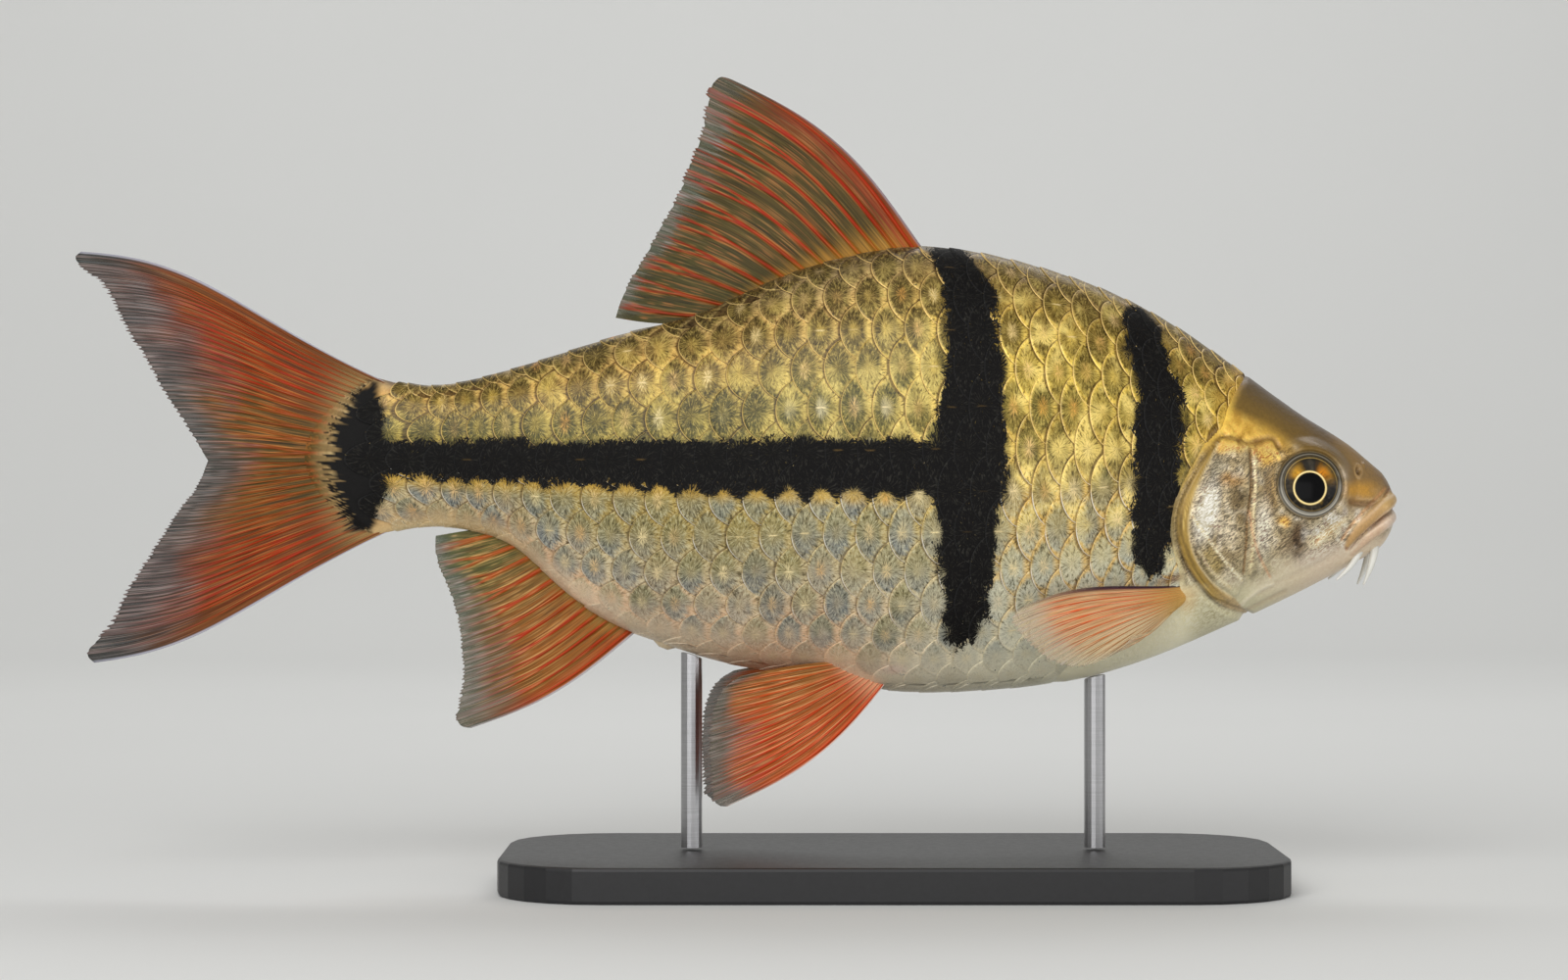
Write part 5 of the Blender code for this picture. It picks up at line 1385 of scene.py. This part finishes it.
def make_fin(name, plan, off_middle, material, shift=0.0):
    """A thin closed fin: two sheets either side of its middle surface, joined round their rims."""
    kind = name.replace("_right", "").replace("_left", "")
    look = FIN_LOOKS[kind]
    plain_edge = PLAIN_EDGES.get(kind, PLAIN_EDGE)
    flat, out, across, half, pattern, length = fin_shape(plan, look, RAY_SPLITS[kind], plain_edge)
    middle = np.stack([flat[..., 0] - shift * out, off_middle(out, across), flat[..., 1]], axis=2)
    normal = grid_normals(middle, False) * half[..., None]
    rows, columns = half.shape
    points = np.concatenate([(middle + normal).reshape(-1, 3), (middle - normal).reshape(-1, 3)])
    sheet = grid_faces(rows, columns)
    other = rows * columns
    rim = np.concatenate([
        np.arange(columns), np.arange(1, rows) * columns + columns - 1,
        (rows - 1) * columns + np.arange(columns - 2, -1, -1), np.arange(rows - 2, 0, -1) * columns,
    ])
    wall = np.stack([np.roll(rim, -1), rim, rim + other, np.roll(rim, -1) + other], axis=1)
    faces = [np.concatenate([sheet, sheet[:, ::-1] + other, wall])]
    piece = new_piece(name + "_rayed", points, faces, material, (name,))
    turn_outward(piece)
    colour, see = fin_colour(look, out, across, pattern, middle[..., [0, 2]], plain_edge[0])
    if kind.startswith("caudal"):
        colour = mix(colour, BLACK, root_black(flat, pattern[0]) * smooth(0.3, 0.2, out))
    give_colour(piece, "Col", np.tile(colour.reshape(-1, 3), (2, 1)))
    facts = np.stack([see, pattern[0], out], axis=-1).reshape(-1, 3)
    give_vector(piece, "finish", np.tile(facts, (2, 1)))
    along = np.stack([across * look["rays"] / 10, out * length / 30], axis=-1).reshape(-1, 2)
    give_map(piece, "RayMap", np.tile(along, (2, 1)))


def turn_outward(piece):
    """Turns a closed mesh's faces round if its signed volume is negative."""
    mesh = piece.data
    mesh.calc_loop_triangles()
    places = np.zeros(len(mesh.vertices) * 3)
    mesh.vertices.foreach_get("co", places)
    corners = np.zeros(len(mesh.loop_triangles) * 3, np.int32)
    mesh.loop_triangles.foreach_get("vertices", corners)
    a, b, c = places.reshape(-1, 3)[corners.reshape(-1, 3)].transpose(1, 0, 2)
    if np.einsum("ij,ij->", np.cross(a, b), c) < 0:
        mesh.flip_normals()


def make_median_fins(material):
    """The dorsal, anal and tail fins, each with a gentle wave along it that starts beyond its root."""
    for name, plan in FINS.items():
        def sway(out, across):
            wave = np.sin(math.pi * out / WAVE_LENGTH) * np.sin(math.pi * across)
            return plan["wave"] * wave * smooth(0.15, 0.7, out)
        make_fin(name, plan, sway, material)


def make_paired_fins(material):
    """The pelvic and pectoral fins of both sides. The pelvic fins lean outward from their roots, and
    the pectoral fins rise quickly off the skin, so that they lie over the scales."""
    front, rear = PELVIC_ROOT_Y
    root = np.array([side_y(x, z) for x, z in PECTORAL_FIN["root"]]).mean() - PECTORAL_SUNK
    for name, side in SIDES.items():
        def lean(out, across):
            return side * (front + (rear - front) * across + PELVIC_SPLAY * out)

        def spring(out, across):
            return side * (PECTORAL_TIP_Y - (PECTORAL_TIP_Y - root) * (1 - out) ** PECTORAL_RISE)
        make_fin("pelvic_fin_" + name, PELVIC_FIN, lean, material, PELVIC_TRAIL if side > 0 else 0.0)
        make_fin("pectoral_fin_" + name, PECTORAL_FIN, spring, material)


# Eyes and barbels

def make_eye(name, side, material):
    """An eyeball turned about its own axis: a low clear dome in front, and a round back. Its colours
    go by distance from the pupil's centre."""
    centre, aim, level, up = eye_frame()
    low, high = EYE_DOME
    share = np.linspace(0, 1, EYE_RINGS[0])
    behind = np.linspace(0, math.pi / 2, EYE_RINGS[1])[1:]
    drop = math.sqrt(1 - EYE_DOME_ROUND)
    dome = low + (high - low) * (np.sqrt(1 - EYE_DOME_ROUND * share**2) - drop)
    radius = EYE_RADIUS * np.concatenate([share, np.cos(behind)])[:, None]
    height = np.concatenate([dome, low - EYE_BACK * np.sin(behind)])[:, None]
    turns = np.linspace(0, 2 * math.pi, EYE_COLUMNS, endpoint=False)
    rings = slice(1, -1)
    sideways, upward = (radius * np.cos(turns))[rings], (radius * np.sin(turns))[rings]
    grid = centre + level * sideways[..., None] + up * upward[..., None] + aim * height[rings, :, None]
    points, faces = mirrored(*closed_tube(grid, centre + aim * height[0], centre + aim * height[-1]), side)
    piece = new_piece("eyeball_" + name, points, faces, material, ("eye_" + name,))
    turn_outward(piece)
    colour = eye_colour(sideways.ravel(), upward.ravel())
    colour[np.broadcast_to(height[rings] < low, sideways.shape).ravel()] = EYE_SOCKET
    middle = eye_colour(np.zeros(1), np.zeros(1))
    give_colour(piece, "Col", np.concatenate([colour, middle, [EYE_SOCKET]]))


def eye_colour(sideways, upward):
    """Black pupil, cream gold ring, dark iris with amber patches drawn out from the pupil, and a clear
    grey ring with fine lines round the edge. sideways points to the snout."""
    radius = np.hypot(sideways - PUPIL_SHIFT[0], upward - PUPIL_SHIFT[1])
    whole = np.hypot(sideways, upward)
    turn = np.degrees(np.arctan2(upward, sideways))
    flat = np.stack([sideways, upward], axis=-1)
    rays = noise(np.stack([turn / 5, whole / 1.5], axis=-1), 1.0, 92) + 0.6 * noise(flat, 0.22, 94)
    iris = painted(srgb(22, 21, 20), ((58, 52, 42), smooth(-0.3, 1.1, rays + 0.4 * noise(flat, 0.5, 91))))
    for place, width, tone, strength, reach in IRIS_PATCHES:
        away = np.abs((turn - place + 180) % 360 - 180) + 6 * rays
        fleck = hill(np.maximum(away, 0), width) * smooth(reach, reach - 0.9, whole + 0.25 * rays)
        iris = painted(iris, (tone, np.clip(fleck * (0.8 + 0.5 * rays) * strength, 0, 1)))
    edge = hill(whole - IRIS_EDGE + 0.1, 0.08) * (0.3 + 0.4 * smooth(-1.0, 2.0, upward))
    grey = smooth(1.8, -2.6, upward + 1.2 * noise(flat, (0.9, 0.6), 93))
    clear = painted(
        srgb(70, 62, 46), ((138, 134, 124), grey),
        ((208, 204, 192), (0.35 + 0.4 * smooth(0.5, -2.5, upward)) * hill(whole - 3.4, 0.08)),
        ((44, 40, 34), 0.7 * hill(whole - 3.56, 0.1)), ((150, 132, 98), 0.8 * smooth(3.6, 3.76, whole)),
    )
    colour = painted(iris, ((196, 164, 92), edge))
    colour = mix(colour, clear, smooth(IRIS_EDGE - 0.02, IRIS_EDGE + 0.12, whole))
    return painted(
        colour, ((250, 224, 156), smooth(GOLD_RING + 0.08, GOLD_RING - 0.02, radius)),
        ((4, 4, 5), smooth(PUPIL_RADIUS + 0.05, PUPIL_RADIUS - 0.03, radius)),
    )


def make_barbels(material):
    """Soft tapering feelers: circles carried along a smooth path, with a rounded tip."""
    share = np.linspace(0, 1, 48)
    turns = np.linspace(0, 2 * math.pi, 24, endpoint=False)
    taper = np.sqrt(np.clip(1 - ((share - 0.97).clip(0) / 0.03) ** 2, 0.0004, 1))
    for (place, path), (name, side) in itertools.product(BARBELS.items(), SIDES.items()):
        way = curve_through(path)(share)
        radius = spread(share, BARBEL_RADII[place]) * taper
        ahead = unit(np.gradient(way, axis=0))
        beside = unit(np.cross(ahead, [0, 1, 0]))
        third = np.cross(ahead, beside)
        circle = beside[:, None] * np.cos(turns)[:, None] + third[:, None] * np.sin(turns)[:, None]
        grid = way[:, None] + circle * radius[:, None, None]
        points, faces = mirrored(*closed_tube(grid, way[0], way[-1]), side)
        name = place + "_" + name
        turn_outward(new_piece("feeler_" + name, points, faces, material, ("barbel_" + name,)))


# Materials

class Shader:
    """A material's node tree with short calls for the nodes used here."""

    def __init__(self, name, **fixed):
        self.material = bpy.data.materials.new(name)
        self.material.use_nodes = True
        self.tree = self.material.node_tree
        self.surface = self.tree.nodes["Principled BSDF"]
        for socket, value in fixed.items():
            self.surface.inputs[socket.replace("_", " ")].default_value = value

    def node(self, kind, **sockets):
        """A node whose named or numbered inputs are set to values or linked to outputs."""
        made = self.tree.nodes.new(kind)
        for key, value in sockets.items():
            self.put(made.inputs[int(key[1:]) if key[0] == "_" else key.replace("_", " ")], value)
        return made

    def put(self, socket, value):
        """Links an output into a socket, or sets its value."""
        if isinstance(value, bpy.types.NodeSocket):
            self.tree.links.new(value, socket)
        else:
            socket.default_value = value

    def math(self, operation, *values):
        """A Math node's result."""
        made = self.node("ShaderNodeMath", **{f"_{k}": value for k, value in enumerate(values)})
        made.operation = operation
        return made.outputs[0]

    def times(self, first, second):
        """The product of two values."""
        return self.math("MULTIPLY", first, second)

    def line(self, value, factor, start):
        """A value times a factor, plus a start."""
        return self.math("MULTIPLY_ADD", value, factor, start)

    def most(self, first, second):
        """The greater of two values."""
        return self.math("MAXIMUM", first, second)

    def rest(self, value):
        """1 less a value."""
        return self.math("SUBTRACT", 1.0, value)

    def ease(self, low, high, value):
        """0 to 1 as value goes from low to high, eased."""
        made = self.node("ShaderNodeMapRange", Value=value, From_Min=low, From_Max=high)
        made.interpolation_type = "SMOOTHSTEP"
        return made.outputs[0]

    def attribute(self, name, vector=False):
        """A stored attribute's colour, or its three numbers as separate outputs."""
        made = self.node("ShaderNodeAttribute")
        made.attribute_name = name
        if not vector:
            return made.outputs["Color"]
        return self.parts(made.outputs["Vector"])

    def parts(self, vector):
        """A vector's three numbers as separate outputs."""
        return self.node("ShaderNodeSeparateXYZ", Vector=vector).outputs

    def map(self, name):
        """A UV map's places."""
        made = self.node("ShaderNodeUVMap")
        made.uv_map = name
        return made.outputs[0]

    def mixed(self, share, first, second, blend="MIX"):
        """Two colours mixed by a share."""
        made = self.node("ShaderNodeMix")
        made.data_type = "RGBA"
        made.blend_type = blend
        self.put(made.inputs["Factor"], share)
        self.put(made.inputs[6], first)
        self.put(made.inputs[7], second)
        return made.outputs[2]

    def noise(self, vector, scale, detail=3.0, rough=0.5, bent=0.0):
        """A noise texture's value."""
        made = self.node(
            "ShaderNodeTexNoise", Vector=vector, Scale=scale, Detail=detail, Roughness=rough, Distortion=bent)
        return made.outputs["Fac"]

    def place(self):
        """Object coordinates."""
        return self.node("ShaderNodeTexCoord").outputs["Object"]

    def bump(self, height, strength, distance):
        """Links a bump of a height into the surface's normal."""
        made = self.node("ShaderNodeBump", Height=height, Strength=strength, Distance=distance * MM)
        self.put(self.surface.inputs["Normal"], made.outputs["Normal"])

    def set(self, name, value):
        """Links or sets one of the surface's inputs."""
        self.put(self.surface.inputs[name], value)


def tint(red, green, blue):
    """A display colour as a socket value."""
    return (*srgb(red, green, blue), 1.0)


def skin_material():
    """Bare wet skin: its painted colour, a little mottled, crinkled like foil on cheek and cover, with
    painted highlights and shade along the crinkles. Its gloss goes where it is rough."""
    look = Shader("wet_skin", Coat_Roughness=0.2, Specular_IOR_Level=0.2)
    place = look.place()
    metal, rough, foil = look.attribute("finish", True)
    fine = look.noise(place, 3200.0, 4.0, 0.62)
    turned = look.node("ShaderNodeMapping", Vector=place, Rotation=(0.0, 0.65, 0.0)).outputs[0]
    stretched = look.node("ShaderNodeMapping", Vector=turned, Scale=(0.5, 0.6, 1.5)).outputs[0]
    crinkle = look.noise(stretched, 2600.0, 4.0, 0.68, 1.6)
    mottled = look.mixed(fine, tint(70, 62, 48), tint(244, 238, 228))
    # Painted highlight and shade along the foil's crinkles, which the bump also follows
    crinkle_light_and_shade = look.mixed(look.ease(0.38, 0.62, crinkle), tint(60, 52, 40), tint(255, 252, 246))
    texture = look.mixed(foil, mottled, crinkle_light_and_shade)
    look.set("Base Color", look.mixed(look.line(foil, 0.28, 0.42), look.attribute("Col"), texture, "OVERLAY"))
    look.set("Metallic", metal)
    look.set("Coat Weight", look.times(look.ease(0.6, 0.45, rough), 0.28))
    look.set("Roughness", look.line(fine, 0.2, rough))
    pores = look.times(look.noise(place, 1700.0, 5.0, 0.65), look.rest(foil))
    look.bump(look.line(crinkle, foil, pores), 0.8, 0.12)
    return look.material


def scale_material():
    """A scale: a pale line along its free edge, a painted shadow where the scale ahead covers it, threads
    that fan from its middle among fine painted glints, on some scales a gold dash and on some a painted
    star-shaped glint there, and black markings whose edges follow the threads. All of it is calmer along the
    belly."""
    look = Shader("gold_scale", Coat_Roughness=0.18, Specular_IOR_Level=0.1)
    edge, cover, chance = look.attribute("scale_edge", True)
    mark, height, luck = look.attribute("finish", True)
    from_tip, across, _ = look.parts(look.map("ScaleMap"))
    ahead = look.math("SUBTRACT", from_tip, 0.15)
    turn = look.math("ARCTAN2", across, ahead)
    across_squared = look.times(across, across)
    far = look.math("SQRT", look.line(ahead, ahead, across_squared))
    fan = look.node("ShaderNodeCombineXYZ", X=turn, Y=look.times(far, 1.5), Z=look.times(chance, 40.0))
    streak = look.noise(fan.outputs[0], 9.0, 3.0, 0.7, 0.4)
    # glints: fine painted glints over the scale, also used in its bump
    glints = look.noise(look.place(), 3600.0, 3.0, 0.75)
    black = look.ease(0.4, 0.56, look.math("ADD", mark, look.line(streak, 2.6, -1.3)))
    light = look.rest(black)
    upper = look.ease(0.42, 0.56, height)
    calm = look.ease(0.03, 0.2, height)
    colour = look.attribute("Col")
    bright = look.mixed(1.0, colour, look.mixed(upper, tint(150, 146, 118), tint(158, 136, 70)), "SCREEN")
    # Pale threads, and the brighter painted glints among them
    threads_and_glints = look.most(look.ease(0.52, 0.62, streak), look.times(look.ease(0.55, 0.66, glints), 0.55))
    colour = look.mixed(look.times(threads_and_glints, 0.86), colour, bright)
    dim = look.mixed(1.0, colour, tint(92, 86, 52), "MULTIPLY")
    dull = look.most(look.ease(0.48, 0.36, streak), look.times(look.ease(0.45, 0.35, glints), 0.45))
    colour = look.mixed(look.times(dull, look.line(calm, 0.58, 0.2)), colour, dim)
    wobble = look.line(streak, 0.05, -0.025)
    thin = look.ease(0.012, 0.003, look.math("ABSOLUTE", look.math("ADD", across, wobble)))
    dash = look.times(thin, look.ease(0.07, 0.02, look.math("ABSOLUTE", ahead)))
    dash = look.times(dash, look.ease(0.7, 0.95, luck))
    # Painted highlight: a small star-shaped glint at the middle of some scales
    tall = look.math("SQRT", look.line(across_squared, 0.2, look.times(ahead, ahead)))
    star_glint = look.times(look.ease(0.08, 0.012, tall), look.ease(0.46, 0.6, streak))
    star_glint = look.times(star_glint, look.ease(0.3, 0.85, chance))
    fleck = look.times(look.most(dash, star_glint), look.line(calm, 0.7, 0.1))
    colour = look.mixed(fleck, colour, look.mixed(luck, tint(232, 158, 62), tint(252, 232, 176)))
    # Painted shadow cast by the scale ahead along its covering edge
    shadow = look.times(look.ease(0.28, 0.02, cover), look.times(calm, look.line(upper, 0.2, 0.56)))
    colour = look.mixed(shadow, colour, look.mixed(1.0, colour, tint(80, 56, 28), "MULTIPLY"))
    lower_side = look.times(look.ease(0.05, -0.1, across), look.rest(upper))
    rim_tint = look.mixed(lower_side, tint(238, 204, 126), tint(248, 244, 232))
    faint = look.times(look.ease(-0.04, 0.08, across), look.line(upper, -0.5, 0.8))
    rim = look.times(look.ease(0.135, 0.04, edge), look.line(calm, 0.64, 0.24))
    colour = look.mixed(look.times(rim, look.rest(faint)), colour, rim_tint)
    ink = look.mixed(look.times(look.ease(0.16, 0.06, edge), 0.08), (*BLACK, 1.0), tint(96, 98, 100))
    ink = look.mixed(look.times(look.ease(0.5, 0.72, streak), 0.3), ink, tint(84, 82, 74))
    ink = look.mixed(look.times(dash, 0.15), ink, tint(200, 160, 90))
    look.set("Base Color", look.mixed(black, colour, ink))
    look.set("Metallic", look.times(light, 0.3))
    look.set("Coat Weight", look.times(light, 0.24))
    look.set("Roughness", look.line(black, 0.25, look.line(streak, 0.3, 0.24)))
    look.bump(look.line(glints, 0.5, streak), 0.55, 0.09)
    return look.material


def fin_material():
    """A thin wet membrane, see-through between its rays, with fine fibres along them, their tints
    greyer toward its margin."""
    look = Shader("fin_membrane", Coat_Weight=0.08, Coat_Roughness=0.25, Specular_IOR_Level=0.12)
    see, _, out = look.attribute("finish", True)
    stretched = look.node("ShaderNodeVectorMath", _0=look.map("RayMap"), _1=(110.0, 2.6, 1.0))
    stretched.operation = "MULTIPLY"
    fibre = look.noise(stretched.outputs[0], 1.0, 3.0, 0.6)
    colour = look.attribute("Col")
    grey = look.ease(0.6, 0.88, out)
    bright = look.mixed(1.0, colour, look.mixed(grey, tint(130, 100, 60), tint(96, 104, 108)), "SCREEN")
    colour = look.mixed(look.times(look.ease(0.53, 0.7, fibre), 0.5), colour, bright)
    dim = look.mixed(1.0, colour, look.mixed(grey, tint(110, 84, 56), tint(88, 92, 94)), "MULTIPLY")
    colour = look.mixed(look.times(look.ease(0.47, 0.28, fibre), 0.7), colour, dim)
    look.set("Base Color", colour)
    look.set("Alpha", see)
    look.set("Roughness", look.line(fibre, 0.2, 0.36))
    look.bump(fibre, 0.4, 0.08)
    return look.material


def eye_material():
    """A painted eye under a wet clear coat."""
    look = Shader("wet_eye", Coat_Weight=0.1, Coat_Roughness=0.12, Roughness=0.45, Specular_IOR_Level=0.06)
    fine = look.noise(look.place(), 3000.0, 3.0)
    mottle = look.mixed(fine, tint(60, 50, 40), tint(255, 250, 240))
    look.set("Base Color", look.mixed(0.12, look.attribute("Col"), mottle, "OVERLAY"))
    return look.material


def barbel_material():
    """Soft pale grey skin."""
    look = Shader("barbel_skin", Coat_Weight=0.2, Coat_Roughness=0.2, Roughness=0.4)
    fine = look.noise(look.place(), 300.0, 1.0)
    look.set("Base Color", look.mixed(fine, tint(206, 205, 197), tint(222, 221, 213)))
    return look.material


def base_material():
    """Satin black with a fine grain."""
    look = Shader("satin_black", Specular_IOR_Level=0.4)
    grain = look.noise(look.place(), 1400.0, 6.0, 0.7)
    look.set("Base Color", look.mixed(grain, tint(24, 24, 25), tint(40, 40, 42)))
    look.set("Roughness", look.line(grain, 0.2, 0.36))
    look.bump(grain, 0.3, 0.04)
    return look.material


def rod_material():
    """Brushed steel, its marks running round the rod."""
    look = Shader("brushed_steel", Metallic=1.0)
    stretched = look.node("ShaderNodeMapping", Vector=look.place(), Scale=(200.0, 200.0, 9000.0))
    brush = look.noise(stretched.outputs[0], 1.0, 4.0)
    look.set("Base Color", look.mixed(brush, tint(150, 150, 152), tint(196, 196, 198)))
    look.set("Roughness", look.line(brush, 0.2, 0.22))
    look.bump(brush, 0.25, 0.03)
    return look.material


def floor_material():
    """Plain pale paper."""
    look = Shader("pale_paper", Roughness=0.9, Specular_IOR_Level=0.2)
    soft = look.noise(look.place(), 6.0, 2.0)
    look.set("Base Color", look.mixed(soft, tint(228, 229, 228), tint(233, 234, 233)))
    return look.material


# Stand, stage, lights and camera

def finish_stand():
    """Gives the stand's own solids their finer materials."""
    for name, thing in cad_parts.items():
        if name.startswith("stand_"):
            thing.data.materials.clear()
            thing.data.materials.append(base_material() if name == "stand_base" else rod_material())


def make_stage(material):
    """A pale floor that sweeps up into a backdrop: a profile of floor, quarter circle and wall,
    carried from side to side."""
    quarter = np.linspace(0, math.pi / 2, 24)
    bend = FLOOR_BACK + FLOOR_SWEEP * np.sin(quarter)
    rise = FLOOR_SWEEP * (1 - np.cos(quarter))
    y = np.concatenate([[-FLOOR_HALF], bend, [FLOOR_BACK + FLOOR_SWEEP]])
    z = np.concatenate([[0], rise, [FLOOR_HEIGHT]])
    x = np.array([-FLOOR_HALF, FLOOR_HALF])
    grid = np.stack([x[None] + 0 * y[:, None], y[:, None] + 0 * x, z[:, None] + 0 * x], axis=-1)
    mesh = bpy.data.meshes.new("floor")
    mesh.from_pydata((grid.reshape(-1, 3) * MM).tolist(), [], grid_faces(len(y), 2).tolist())
    floor = bpy.data.objects.new("floor", mesh)
    bpy.context.scene.collection.objects.link(floor)
    mesh.materials.append(material)
    mesh.shade_smooth()


def make_light(name, place, target, size, power):
    """A soft rectangular light that faces a target."""
    lamp = bpy.data.lights.new(name, "AREA")
    lamp.shape = "RECTANGLE"
    lamp.size, lamp.size_y = size[0] * MM, size[1] * MM
    lamp.energy = power
    light = bpy.data.objects.new(name, lamp)
    bpy.context.scene.collection.objects.link(light)
    light.location = np.array(place) * MM
    way = np.array(target) - np.array(place)
    yaw = math.atan2(way[1], way[0]) - math.pi / 2
    pitch = math.atan2(math.hypot(way[0], way[1]), -way[2])
    light.rotation_euler = (pitch, 0, yaw)


def make_lights():
    """A broad soft light above and before the fish, a weaker one from its head's side, a low one for
    the belly, one over its back, one on the backdrop, and an even pale sky."""
    for name, facts in LIGHTS.items():
        make_light(name, *facts)
    world = bpy.data.worlds.new("soft_sky")
    bpy.context.scene.world = world
    world.use_nodes = True
    sky = world.node_tree.nodes["Background"]
    sky.inputs["Color"].default_value = SKY_COLOUR
    sky.inputs["Strength"].default_value = SKY_STRENGTH


def make_camera():
    """The photograph's view: level, square to the fish's right side."""
    camera = bpy.data.objects.new("camera", bpy.data.cameras.new("camera"))
    bpy.context.scene.collection.objects.link(camera)
    camera.location = np.array(CAMERA_PLACE) * MM
    camera.rotation_euler = (math.pi / 2, 0, 0)
    camera.data.lens = CAMERA_LENS
    camera.data.clip_start = 0.01
    bpy.context.scene.camera = camera


def main():
    """Makes every piece, then the stage and the lights."""
    make_camera()
    scale_look = scale_material()
    make_skin(skin_material())
    flank = flank_scales()
    for name, side in SIDES.items():
        make_scales("scales_" + name, flank, side, 0, scale_look)
    for ridge in RIDGE_SPANS:
        make_scales("scales_" + ridge, ridge_scales(ridge), 1, RIDGE_LIFT, scale_look)
    fin_look = fin_material()
    make_median_fins(fin_look)
    make_paired_fins(fin_look)
    eye_look = eye_material()
    for name, side in SIDES.items():
        make_eye(name, side, eye_look)
    make_barbels(barbel_material())
    finish_stand()
    make_stage(floor_material())
    make_lights()
    bpy.context.scene.view_settings.view_transform = "Standard"


main()
